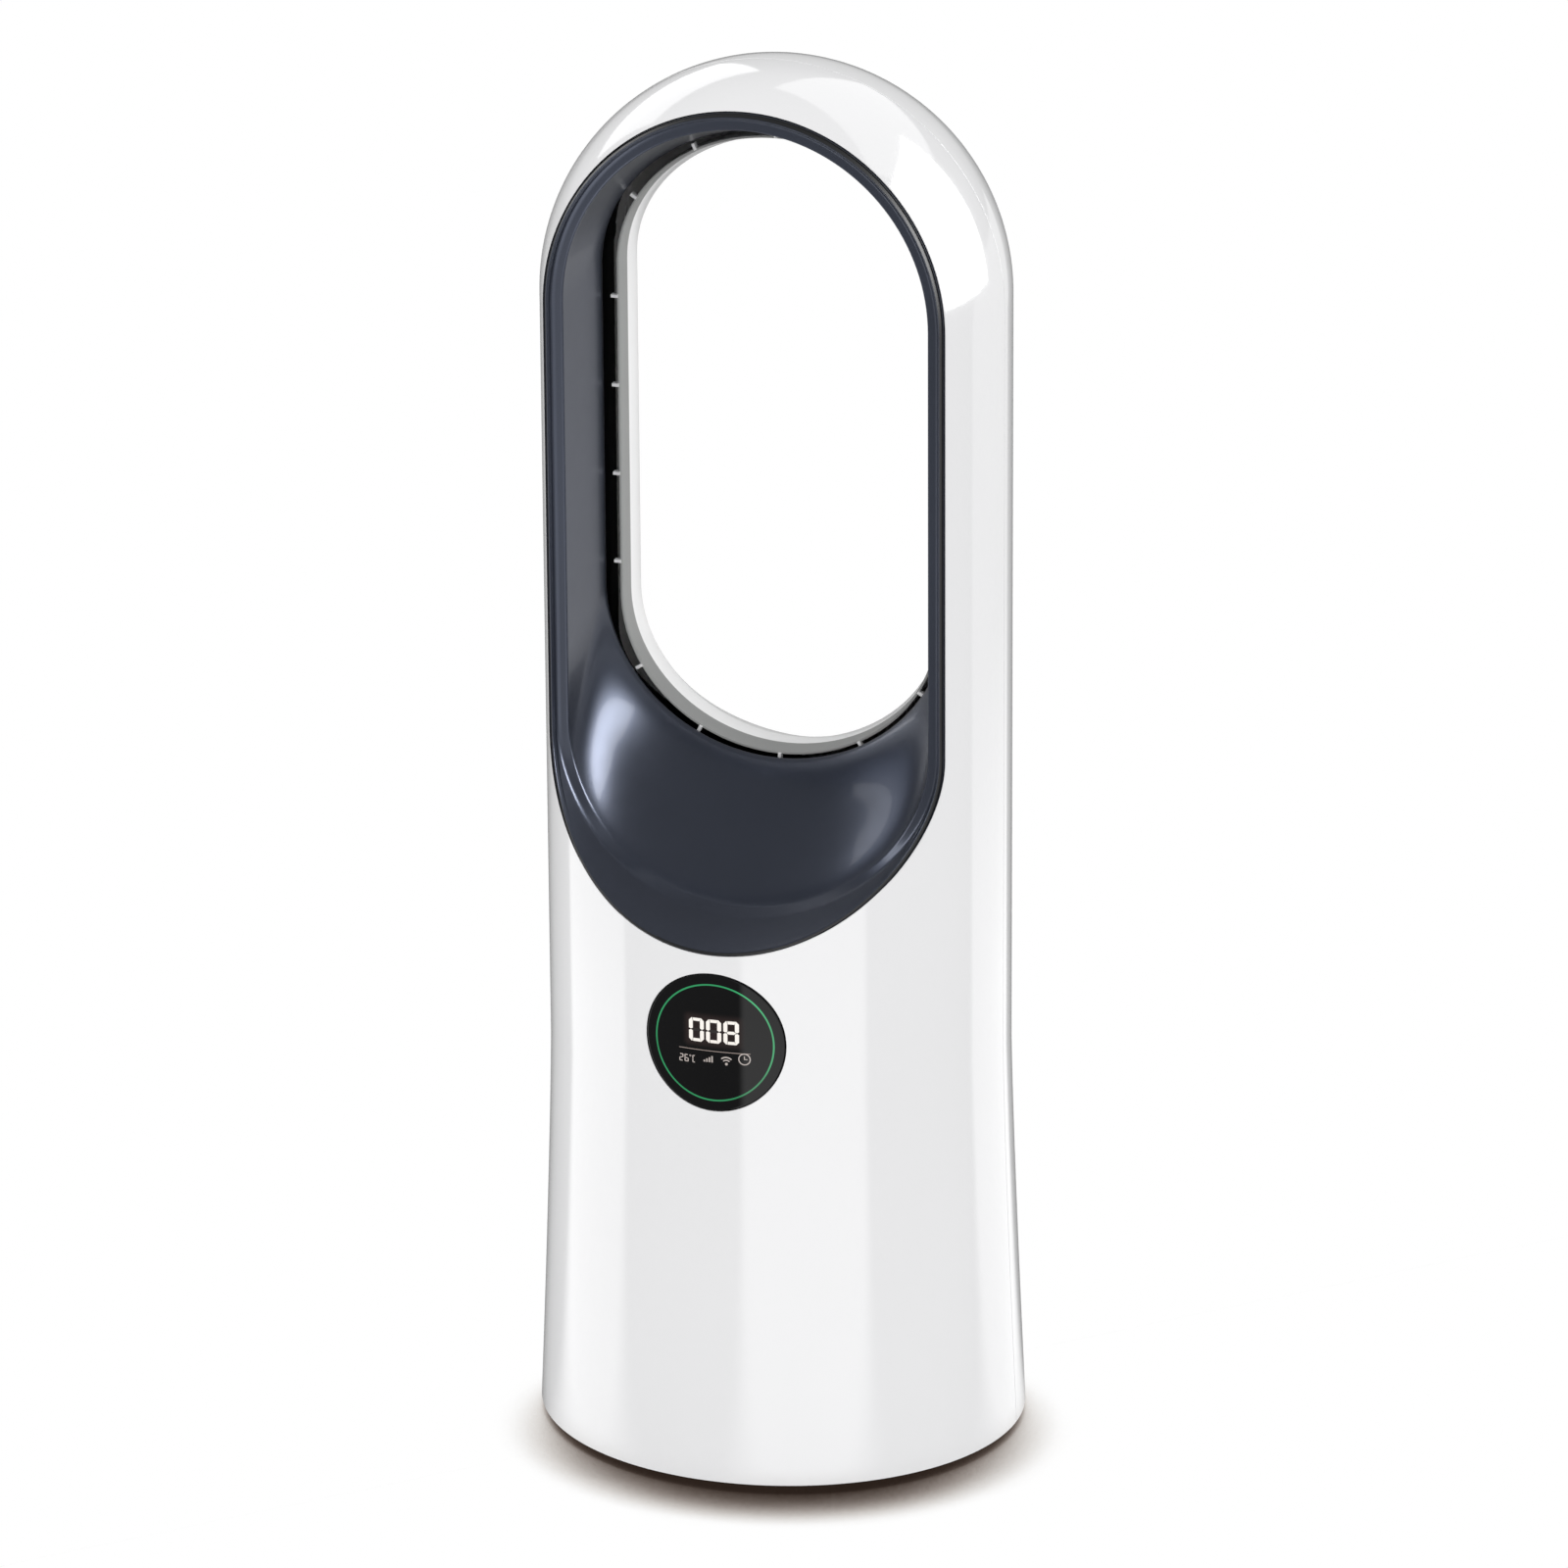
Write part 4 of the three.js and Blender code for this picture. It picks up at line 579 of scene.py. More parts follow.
shell_white = moulded("gloss_white", (240, 240, 241), 0.1, spread=0.008, patch=9, grain=90, bump=0.000006,
                      swing=0.02, coat=0.6, coat_roughness=0.04)
slate = moulded("gloss_slate", (70, 75, 88), 0.3, metallic=0.65, spread=0.06, patch=14, grain=160,
                bump=0.000008, swing=0.03, coat=0.15, coat_roughness=0.06)
ring_white = moulded("satin_white", (246, 246, 246), 0.22, spread=0.015, patch=20, grain=900, bump=0.00001)
# Painted shade: the shells' hidden inner side, really the same white plastic, in dark grey so that the slot
# shows dark.
painted_slot_shade = moulded("painted_slot_shade", (34, 35, 37), 0.6, spread=0.05, patch=40, grain=1200, bump=0.00003)
# Painted shade: the near-black line on the liner's flush edge, for the shade in the gap between liner and
# shell.
painted_gap_shade = moulded("painted_gap_shade", (22, 23, 26), 0.45, spread=0.05, patch=30, grain=900, bump=0.00001)
# Painted shade: the nozzle ring's front lip is the ring's white plastic, in grey for the shade of the slot on
# it.
painted_lip_shade = moulded("painted_lip_shade_grey", (148, 149, 148), 0.35, spread=0.02, patch=30, grain=900, bump=0.00001)
rubber = moulded("rubber_black", (30, 30, 31), 0.75, spread=0.12, patch=80, grain=1800, bump=0.00006,
                swing=0.1)
black_plastic = moulded("plastic_black", (40, 41, 43), 0.42, spread=0.08, patch=50, grain=1400, bump=0.00004,
                        swing=0.06)
grey_plastic = moulded("plastic_grey", (150, 153, 157), 0.45, spread=0.04, patch=40, grain=1300, bump=0.00003,
                       swing=0.05)
acetal = moulded("acetal_white", (232, 229, 219), 0.3, spread=0.02, patch=60, grain=900, bump=0.00001)
steel = moulded("steel_plated", (165, 168, 172), 0.3, spread=0.07, patch=90, grain=1500, bump=0.00001,
                metallic=1.0, swing=0.08, stretch=(1, 1, 6))
aluminium = moulded("aluminium_cast", (186, 188, 191), 0.36, spread=0.05, patch=80, grain=1800, bump=0.00004,
                    metallic=1.0, swing=0.08)
brass = moulded("brass_turned", (184, 150, 84), 0.28, spread=0.06, patch=120, grain=1600, bump=0.00001,
                metallic=1.0, swing=0.06, stretch=(1, 1, 10))
board = moulded("board_green", (26, 88, 58), 0.38, spread=0.2, patch=260, grain=900, bump=0.00003, swing=0.08)
paper = moulded("filter_paper", (240, 237, 228), 0.9, spread=0.05, patch=500, grain=2600, bump=0.00012,
               swing=0.05)
white_light = lit("digits_white", (255, 247, 240), 1.0, dim=0.05)
line_light = lit("line_white", (196, 178, 170), 0.8, dim=0.1)
icon_light = lit("icons_white", (205, 194, 188), 0.9, dim=0.2)
green_light = lit("ring_green", (42, 158, 98), 1.0, dim=0.35)
unlit = moulded("segments_unlit", (44, 38, 37), 0.3, spread=0.1, patch=200, grain=900)


def lens_material():
    """Black glass with a faint warm glow round the digits."""
    material, nodes, links, bsdf = shader("lens_black")
    bsdf.inputs["Roughness"].default_value = 0.04
    bsdf.inputs["Specular IOR Level"].default_value = 0.26
    where = nodes.new("ShaderNodeTexCoord")
    split = nodes.new("ShaderNodeSeparateXYZ")
    links.new(where.outputs["Object"], split.inputs["Vector"])

    def math_node(kind, first, second=None):
        node = nodes.new("ShaderNodeMath")
        node.operation = kind
        for socket, value in zip(node.inputs, (first, second)):
            if value is None:
                continue
            if isinstance(value, (int, float)):
                socket.default_value = value
            else:
                links.new(value, socket)
        return node.outputs[0]

    def beyond(socket, middle, half):
        away = math_node("ABSOLUTE", math_node("SUBTRACT", socket, middle * MM))
        return math_node("MAXIMUM", math_node("SUBTRACT", away, half * MM), 0.0)

    dx = beyond(split.outputs["X"], 0.3, 11.0)
    dz = beyond(split.outputs["Z"], DISPLAY_Z + 5.1, 5.2)
    away = math_node("SQRT", math_node("ADD", math_node("MULTIPLY", dx, dx), math_node("MULTIPLY", dz, dz)))
    glow = nodes.new("ShaderNodeMapRange")
    glow.interpolation_type = "SMOOTHSTEP"
    glow.inputs["From Min"].default_value = 0.0
    glow.inputs["From Max"].default_value = 3.4 * MM
    glow.inputs["To Min"].default_value = 1.0
    glow.inputs["To Max"].default_value = 0.0
    links.new(away, glow.inputs["Value"])
    tint = nodes.new("ShaderNodeValToRGB")
    tint.color_ramp.elements[0].color = (0, 0, 0, 1)
    tint.color_ramp.elements[1].color = linear((50, 38, 36)) + [1]
    links.new(glow.outputs["Result"], tint.inputs["Fac"])
    links.new(tint.outputs["Color"], bsdf.inputs["Emission Color"])
    bsdf.inputs["Emission Strength"].default_value = 0.6
    tones = nodes.new("ShaderNodeTexNoise")
    tones.inputs["Scale"].default_value = 60
    links.new(where.outputs["Object"], tones.inputs["Vector"])
    ramp = nodes.new("ShaderNodeValToRGB")
    ramp.color_ramp.elements[0].color = linear((9, 9, 10)) + [1]
    ramp.color_ramp.elements[1].color = linear((13, 13, 14)) + [1]
    links.new(tones.outputs["Fac"], ramp.inputs["Fac"])
    links.new(ramp.outputs["Color"], bsdf.inputs["Base Color"])
    return material


def dark_edge(obj):
    """Paints the liner's thin edge that lies flush with the shell near black: a line of painted shade round
    the window, for the shade in the gap to the shell.
    """
    obj.data.materials.append(painted_gap_shade)
    for polygon in obj.data.polygons:
        x, y, z = polygon.center / MM
        if y + surface_depth(x, z) < EDGE_LINE_DEPTH:
            polygon.material_index = 1


def dark_inside(obj):
    """Paints the hidden side of a shell's wall, which shows only through the slot, dark grey: painted shade,
    as the wall is the shell's white plastic.
    """
    obj.data.materials.append(painted_slot_shade)
    for polygon in obj.data.polygons:
        x, y, z = polygon.center / MM
        if polygon.normal.x * x + polygon.normal.y * y + polygon.normal.z * max(0, z - DOME_Z) < 0:
            polygon.material_index = 1


def dressed(obj, material, body, slot, *nodes):
    obj.data.materials.clear()
    obj.data.materials.append(material)
    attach(obj, body)
    if nodes:
        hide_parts(*nodes)
    return obj


# ---------------------------------------------------------------- shells
def front_shell():
    skin = Skin()
    window, _ = oval_points(OPENING)
    rims = [
        shell_rim(0.35),
        cut_rim(window, 0, SHELL_WALL, 0.5, True),
        cut_rim(circle(LENS_RADIUS + FIT, z=DISPLAY_Z), 0, SHELL_WALL, 0.4, True),
    ]
    add_skin(skin, rims, 0, SHELL_WALL, 4.0)
    return skin_object("front_shell_skin", skin)


COVER = (-70.0, 70.0, 40.0, 110.0, 8.0)
INLET_HALF_WIDTH = 13.0
INLET_HALF_HEIGHT = 7.5


def inlet_height():
    low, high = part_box("power_inlet")
    return (low.z + high.z) / 2 / MM


def rear_shell():
    skin = Skin()
    window, _ = oval_points(REAR)
    x0, x1, z0, z1, corner = COVER
    hole = rounded_rectangle(x0 - FIT, x1 + FIT, z0 - FIT, z1 + FIT, corner)
    middle = inlet_height()
    wide, high = INLET_HALF_WIDTH + FIT, INLET_HALF_HEIGHT + FIT
    inlet = rounded_rectangle(-wide, wide, middle - high, middle + high, 1.0, 2.0, 3)
    rims = [
        shell_rim(0.35),
        cut_rim(window, 0, SHELL_WALL, 0.5, True),
        cut_rim(hole, 0, SHELL_WALL, 0.45, True),
        cut_rim(inlet, 0, SHELL_WALL, 0.3, True),
    ]
    add_skin(skin, rims, 0, SHELL_WALL, 4.0)
    return skin_object("rear_shell_skin", skin, back=True)


def stadium(x, z, half_length, half_height, end_steps=8, side_steps=10):
    straight = half_length - half_height
    points = []
    for side in (1, -1):
        for i in range(end_steps + 1):
            a = (i / end_steps - 0.5) * math.pi
            out = straight + half_height * math.cos(a)
            points.append((x + side * out, z + side * half_height * math.sin(a)))
    return divided(np.array(points), 2 * straight / side_steps)


def intake_cover():
    skin = Skin()
    x0, x1, z0, z1, corner = COVER
    margin, rows, columns = 8.0, 7, 3
    column_pitch = (x1 - x0 - 2 * margin) / columns
    row_pitch = (z1 - z0 - 2 * margin) / (rows - 1)
    rims = [cut_rim(rounded_rectangle(x0, x1, z0, z1, corner), 0, SHELL_WALL, 0.45, False)]
    for column in range(columns):
        for row in range(rows):
            x = (column - (columns - 1) / 2) * column_pitch
            slot = stadium(x, z0 + margin + row * row_pitch, (column_pitch - 5.3) / 2, 1.8)
            rims.append(cut_rim(slot, 0, SHELL_WALL, 0.35, True))
    add_skin(skin, rims, 0, SHELL_WALL, 2.5)
    return skin_object("intake_cover_panel", skin, back=True)


# ---------------------------------------------------------------- liner and ring
def liner():
    edge = grown(OPENING, -FIT)
    shown = [
        surface_rail(edge, -1, 0),
        surface_rail(grown(edge, -LIP_WIDTH), -1, 0),
        rail(LEDGE, LEDGE_SIDE_Y, LEDGE_BOTTOM_Y),
        *[throat_rail(s) for s in np.linspace(0, 1, 25)],
    ]
    for t in (0.25, 0.5, 0.75, 1.0):
        a = t * math.pi / 2
        y = THROAT_END_Y + ROLL * math.sin(a)
        shown.append(rail(grown(THROAT, ROLL * (1 - math.cos(a))), y, y))
    back = surface_rail(edge, -1, LINER_EDGE_DEPTH)
    shown = [back, *shown]
    eased = eased_profile(shown, {1: 0.5, 2: 0.7, 3: 1.6, 4: 0.9})
    hidden = hidden_rails(eased[6:], LINER_WALL)
    return band_object("throat_liner_body", [*eased, *hidden])


def ring_bell(share, lip, side_end):
    shape = RING + (lip - RING) * share ** RING_BELL_CURVE
    side_y = RING_THROAT_Y + (side_end - RING_THROAT_Y) * share
    bottom_y = RING_THROAT_Y + (HALF_DEPTH - RING_THROAT_Y) * share
    return rail(shape, side_y, bottom_y)


def ring():
    edge = grown(REAR, -FIT)
    lip = grown(edge, -LIP_WIDTH)
    side_end = float(surface_depth(lip[0], DOME_Z))
    shown = [
        rail(RING_LIP, RING_LIP_Y, RING_LIP_Y),
        rail(RING_CROWN, RING_CROWN_Y, RING_CROWN_Y),
        rail(RING, RING_THROAT_Y, RING_THROAT_Y),
        *[ring_bell(s, lip, side_end) for s in np.linspace(0, 1, 13)[1:-1]],
        surface_rail(lip, 1, 0),
        surface_rail(edge, 1, 0),
        surface_rail(edge, 1, RING_EDGE_DEPTH),
    ]
    last = len(shown) - 1
    hidden = hidden_rails(shown[1:last - 2], RING_WALL)
    front = hidden_rails(shown[:2], 1.0)[-1]
    rails = [front, *shown, *hidden]
    steps = 4
    eased = eased_profile(rails, {1: 0.4, 2: 0.8, last: 0.6}, steps)
    obj = band_object("nozzle_ring_body", eased)
    lip_end = 1 + (steps + 1) + (steps + 1) // 2
    return obj, [eased[1], eased[lip_end]]


RIB_LENGTH = 3.0
RIB_DEPTH = 3.2
RIB_THICKNESS = 1.5
SIDE_RIB_COUNT = 4
SIDE_RIB_MARGIN = 14.2
ARC_RIB_ANGLES = (-61, -30, 0, 30, 61)


def tone_lip(obj, rails, material):
    """Gives the faces between two rails a material of their own. On the nozzle ring it is a grey lip of
    painted shade, where the slot shades the white plastic.
    """
    obj.data.materials.append(material)
    middle_x, near, middle_z = rails[0].mean(0)
    far = rails[1][:, 1].mean()
    for polygon in obj.data.polygons:
        x, y, z = polygon.center / MM
        if near - 0.2 <= y <= far:
            inwards = polygon.normal.x * (middle_x - x) + polygon.normal.z * (middle_z - z)
            if inwards > 0 or polygon.normal.y < -0.5:
                polygon.material_index = 1


def rib_places():
    lip = RING_LIP
    places = []
    low, high = lip[3] + SIDE_RIB_MARGIN, lip[1] - SIDE_RIB_MARGIN
    for side in (-1, 1):
        for z in np.linspace(low, high, SIDE_RIB_COUNT):
            places.append((side * lip[0], z, side, 0.0))
    for degrees in ARC_RIB_ANGLES:
        s, c = math.sin(math.radians(degrees)), math.cos(math.radians(degrees))
        for centre, radius, up in ((lip[1], lip[2], 1), (lip[3], lip[4], -1)):
            places.append((lip[0] * s, centre + up * radius * c, s / lip[0], up * c / radius))
    return places


def rounded_peg(length, depth, thickness, radius=0.35, steps=3):
    """A block with rounded long edges. Its length is along X from 0, its depth along Y."""
    near, far, half = radius, depth - radius, thickness / 2 - radius
    section = []
    for q, (cy, cz) in enumerate([(far, half), (near, half), (near, -half), (far, -half)]):
        for i in range(steps + 1):
            a = (q + i / steps) * math.pi / 2
            section.append((cy + radius * math.cos(a), cz + radius * math.sin(a)))
    points = [(x, y, z) for x in (0.0, length) for y, z in section]
    n = len(section)
    faces = [(i, (i + 1) % n, n + (i + 1) % n, n + i) for i in range(n)]
    faces += [tuple(range(n))[::-1], tuple(range(n, 2 * n))]
    return np.array(points), faces


def spacer_ribs():
    points, faces, count = [], [], 0
    for x, z, out_x, out_z in rib_places():
        peg, peg_faces = rounded_peg(RIB_LENGTH, RIB_DEPTH, RIB_THICKNESS)
        length = math.hypot(out_x, out_z)
        ux, uz = out_x / length, out_z / length
        turned = np.column_stack([
            x + ux * (peg[:, 0] + 0.5) - uz * peg[:, 2],
            RING_LIP_Y - 1 + peg[:, 1],
            z + uz * (peg[:, 0] + 0.5) + ux * peg[:, 2],
        ])
        points.append(turned)
        faces += [tuple(c + count for c in f) for f in peg_faces]
        count += len(peg)
    return smooth_object("slot_spacer_ribs", np.vstack(points), faces)


# ---------------------------------------------------------------- display
# Places on the display are measured from the lens's middle.
LIT_LIFT = 0.05
UNLIT_LIFT = 0.04
LIGHT_RING_OUTER = 26.35
LIGHT_RING_INNER = 25.65


def plates(name, shapes, lift, thickness=0.12, spacing=1.2):
    """Thin shapes on the lens. Each is an outline in X and Z about the lens's middle, and its holes."""
    skin = Skin()
    for outline, *holes in shapes:
        rims = []
        for number, loop in enumerate((outline, *holes)):
            loop = divided(np.asarray(loop, float), spacing) + (0, DISPLAY_Z)
            rims.append(cut_rim(loop, lift, thickness, 0.01, number > 0))
        add_skin(skin, rims, lift, thickness, spacing, fillet_steps=1)
    return skin_object(name, skin)


def digit_segments(x, z, width, height, stroke_x, stroke_z, cut, gap):
    """The seven segments of one digit, anticlockwise, by letter. Its lower left corner is at x, z."""
    w, h, sx, sz, g = width, height, stroke_x, stroke_z, gap / 2
    foot = h / 2 + g + 0.25 * sx
    upper_left = [
        (0, foot),
        (sx * 0.5, h / 2 + g),
        (sx, foot),
        (sx, h - sz - g),
        (cut - g, h),
        (cut * 0.75, h),
        (0, h - cut * 0.75),
    ]
    top = [(sx + g, h - sz), (w - sx - g, h - sz), (w - cut + g, h), (cut + g, h)]
    bend = sx + 0.4 * sz
    middle = [
        (sx * 0.7, h / 2),
        (bend, h / 2 - sz / 2),
        (w - bend, h / 2 - sz / 2),
        (w - sx * 0.7, h / 2),
        (w - bend, h / 2 + sz / 2),
        (bend, h / 2 + sz / 2),
    ]

    def across(points):
        return [(w - px, pz) for px, pz in points][::-1]

    def down(points):
        return [(px, h - pz) for px, pz in points][::-1]

    shapes = {
        "a": top,
        "b": across(upper_left[::-1])[::-1],
        "c": down(across(upper_left[::-1])[::-1]),
        "d": down(top),
        "e": down(upper_left),
        "f": upper_left,
        "g": middle,
    }
    out = {}
    for key, points in shapes.items():
        loop = np.array(points)
        area = np.sum(loop[:, 0] * np.roll(loop[:, 1], -1) - np.roll(loop[:, 0], -1) * loop[:, 1])
        if area < 0:
            loop = loop[::-1]
        out[key] = loop + (x, z)
    return out


SEGMENTS = {"0": "abcdef", "8": "abcdefg", "2": "abged", "6": "afgedc", "C": "afed"}


def rectangle(x0, x1, z0, z1):
    return np.array([(x0, z0), (x1, z0), (x1, z1), (x0, z1)], float)


def arc_band(x, z, inner, outer, start, end, steps=10):
    a = np.radians(np.linspace(start, end, steps + 1))
    out = [(x + outer * math.cos(t), z + outer * math.sin(t)) for t in a]
    back = [(x + inner * math.cos(t), z + inner * math.sin(t)) for t in a[::-1]]
    return np.array(out + back)


def display():
    lens = Skin()
    add_skin(lens, [cut_rim(circle(LENS_RADIUS, z=DISPLAY_Z, count=120), 0, 2.0, 0.8, False)], 0, 2.0, 2.0, 5)
    glass = skin_object("display_lens_glass", lens)
    dressed(glass, lens_material(), "tower", "lens_black", "display_lens")
    bright, dark = [], []
    width, gap = 6.75, 0.95
    left = -10.7
    for number, character in enumerate("008"):
        parts = digit_segments(left + number * (width + gap), -0.1, width, 10.5, 1.75, 1.35, 1.6, 0.3)
        for key, loop in parts.items():
            (bright if key in SEGMENTS[character] else dark).append([loop])
    small = []
    for character, left, width in (("2", -15.3, 1.9), ("6", -12.9, 1.9), ("C", -9.3, 1.5)):
        parts = digit_segments(left, -9.9, width, 3.3, 0.45, 0.42, 0.35, 0.1)
        small += [[loop] for key, loop in parts.items() if key in SEGMENTS[character]]
    small.append([circle(0.42, -10.25, -7.0, 20), circle(0.2, -10.25, -7.0, 20)])
    for number in range(4):
        x = -4.2 + number * 1.15
        small.append([rectangle(x, x + 0.7, -8.9, -8.0 + number * 0.65)])
    small.append([circle(0.62, 5.9, -9.0, 24)])
    for inner, outer in ((1.75, 2.3), (3.0, 3.6)):
        small.append([arc_band(5.9, -9.3, inner, outer, 48, 132)])
    small.append([circle(2.65, 13.7, -6.3, 40), circle(2.2, 13.7, -6.3, 40)])
    small.append([rectangle(13.5, 13.85, -6.5, -4.9)])
    small.append([rectangle(13.9, 15.0, -6.5, -6.15)])
    line = [[rectangle(-15.3, 16.2, -3.92, -3.68)]]
    ring_of_light = [[circle(LIGHT_RING_OUTER, count=120), circle(LIGHT_RING_INNER, count=120)]]
    dressed(plates("digits_lit", bright, LIT_LIFT), white_light, "tower", "light_green")
    dressed(plates("digits_unlit", dark, UNLIT_LIFT), unlit, "tower", "lens_black")
    dressed(plates("display_underline", line, LIT_LIFT), line_light, "tower", "light_green")
    dressed(plates("display_icons", small, LIT_LIFT, spacing=0.8), icon_light, "tower", "light_green")
    glow = plates("display_ring", ring_of_light, LIT_LIFT, spacing=3.0)
    dressed(glow, green_light, "tower", "light_green", "light_ring")


# ---------------------------------------------------------------- camera, light and floor
CAMERA_AZIMUTH = 17.95582


def camera():
    """The photograph's viewpoint, found by a fit to the fan's outline."""
    distance, azimuth, height = 3658.31, math.radians(CAMERA_AZIMUTH), 1589.883
    yaw = azimuth + math.radians(-0.030385)
    tilt, roll = math.radians(19.602321), math.radians(-0.362773)
    focal_pixels, frame_pixels = 9268.986, 1600
    place = Vector((math.sin(azimuth) * distance, -math.cos(azimuth) * distance, height)) * MM
    ahead = Vector((-math.sin(yaw) * math.cos(tilt), math.cos(yaw) * math.cos(tilt), -math.sin(tilt)))
    level = Vector((math.cos(yaw), math.sin(yaw), 0))
    up = level.cross(ahead)
    right = level * math.cos(roll) + up * math.sin(roll)
    top = up * math.cos(roll) - level * math.sin(roll)
    data = bpy.data.cameras.new("camera")
    data.sensor_fit = "HORIZONTAL"
    data.sensor_width = data.sensor_height = 36
    data.lens = 36 * focal_pixels / frame_pixels
    data.clip_end = 100
    obj = linked(bpy.data.objects.new("camera", data))
    matrix = Matrix((right, top, -ahead)).transposed().to_4x4()
    matrix.translation = place
    obj.matrix_world = matrix
    bpy.context.scene.camera = obj


def softbox(name, azimuth, elevation, aim, distance, width, height, level, *seen_in, diffuse=False):
    """A lamp that glossy surfaces show. Its direction from aim is an azimuth from the front and an elevation,
    in degrees. Where pieces are given, only those show it. With diffuse it lights matt surfaces too."""
    data = bpy.data.lights.new(name, "AREA")
    data.shape = "RECTANGLE"
    data.size, data.size_y = width, height
    data.energy = level * math.pi * width * height
    obj = linked(bpy.data.objects.new(name, data))
    a, e = math.radians(azimuth), math.radians(elevation)
    way = Vector((math.sin(a) * math.cos(e), -math.cos(a) * math.cos(e), math.sin(e)))
    obj.location = Vector(aim) + way * distance
    obj.rotation_euler = (-way).to_track_quat("-Z", "Y").to_euler()
    obj.visible_camera = False
    obj.visible_diffuse = diffuse
    if seen_in:
        receivers = bpy.data.collections.new(name + "_receivers")
        for piece in seen_in:
            receivers.objects.link(piece)
        obj.light_linking.receiver_collection = receivers
    return obj


def graph(nodes, links):
    """Two helpers for a node tree: one makes a Math node, the other any node with its inputs."""

    def put(socket, value):
        if hasattr(value, "is_output"):
            links.new(value, socket)
        else:
            socket.default_value = value

    def calc(kind, *values):
        node = nodes.new("ShaderNodeMath")
        node.operation = kind
        for socket, value in zip(node.inputs, values):
            put(socket, value)
        return node.outputs[0]

    def make(kind, **inputs):
        node = nodes.new(kind)
        for key, value in inputs.items():
            put(node.inputs[key.replace("_", " ")], value)
        return node

    return calc, make


# How bright the sky is for matt surfaces, and for glossy ones overhead and at the horizon. SKY_RISE is the
# span of the upward direction's Z over which the one becomes the other.
SKY_LEVEL = 1.03
SKY_GLOSS_LEVEL = 0.22
SKY_EDGE_LEVEL = 0.4
SKY_RISE = (0.1, 0.5)


def world_light():
    world = bpy.data.worlds.new("studio")
    bpy.context.scene.world = world
    world.use_nodes = True
    nodes, links = world.node_tree.nodes, world.node_tree.links
    calc, make = graph(nodes, links)
    rays = nodes.new("ShaderNodeLightPath")
    where = nodes.new("ShaderNodeTexCoord")
    split = make("ShaderNodeSeparateXYZ", Vector=where.outputs["Generated"])
    rise = make("ShaderNodeMapRange", Value=split.outputs["Z"])
    rise.interpolation_type = "SMOOTHSTEP"
    rise.inputs["From Min"].default_value, rise.inputs["From Max"].default_value = SKY_RISE
    rise.inputs["To Min"].default_value = SKY_EDGE_LEVEL
    rise.inputs["To Max"].default_value = SKY_GLOSS_LEVEL
    dimmed = calc("MULTIPLY", rays.outputs["Is Glossy Ray"], calc("SUBTRACT", SKY_LEVEL, rise.outputs[0]))
    nodes["Background"].inputs["Color"].default_value = (1, 1, 1, 1)
    links.new(calc("SUBTRACT", SKY_LEVEL, dimmed), nodes["Background"].inputs["Strength"])


FLOOR_HALF_SIZE = 30
# The shade at the base: how far its direction leans from straight up, its reach in metres, and its tones by
# how open the floor is.
SHADE_LEAN = 66
SHADE_REACH = 0.044
SHADE_STOPS = (
    (0.34, (36, 27, 22)),
    (0.43, (58, 47, 41)),
    (0.52, (98, 87, 80)),
    (0.61, (158, 149, 143)),
    (0.71, (218, 214, 210)),
    (0.83, (255, 255, 255)),
)
# What glossy surfaces see of the floor. Each fan of light has its two edges, in degrees from the camera's
# side on the tower, and its level. The fans fade between two distances, in metres, to FAN_FAR_SHARE.
FLOOR_GLOSS_LEVEL = 0.3
FANS = ((-64, -42, 1.3), (-11.3, 18.7, 1.5), (53, 76, 1.0))
FAN_SOFTNESS = 0.02
FAN_FADE = (0.6, 1.15)
FAN_FAR_SHARE = 0.5
FAR_SIDE = 79.5
FAR_DARKENING = 0.08


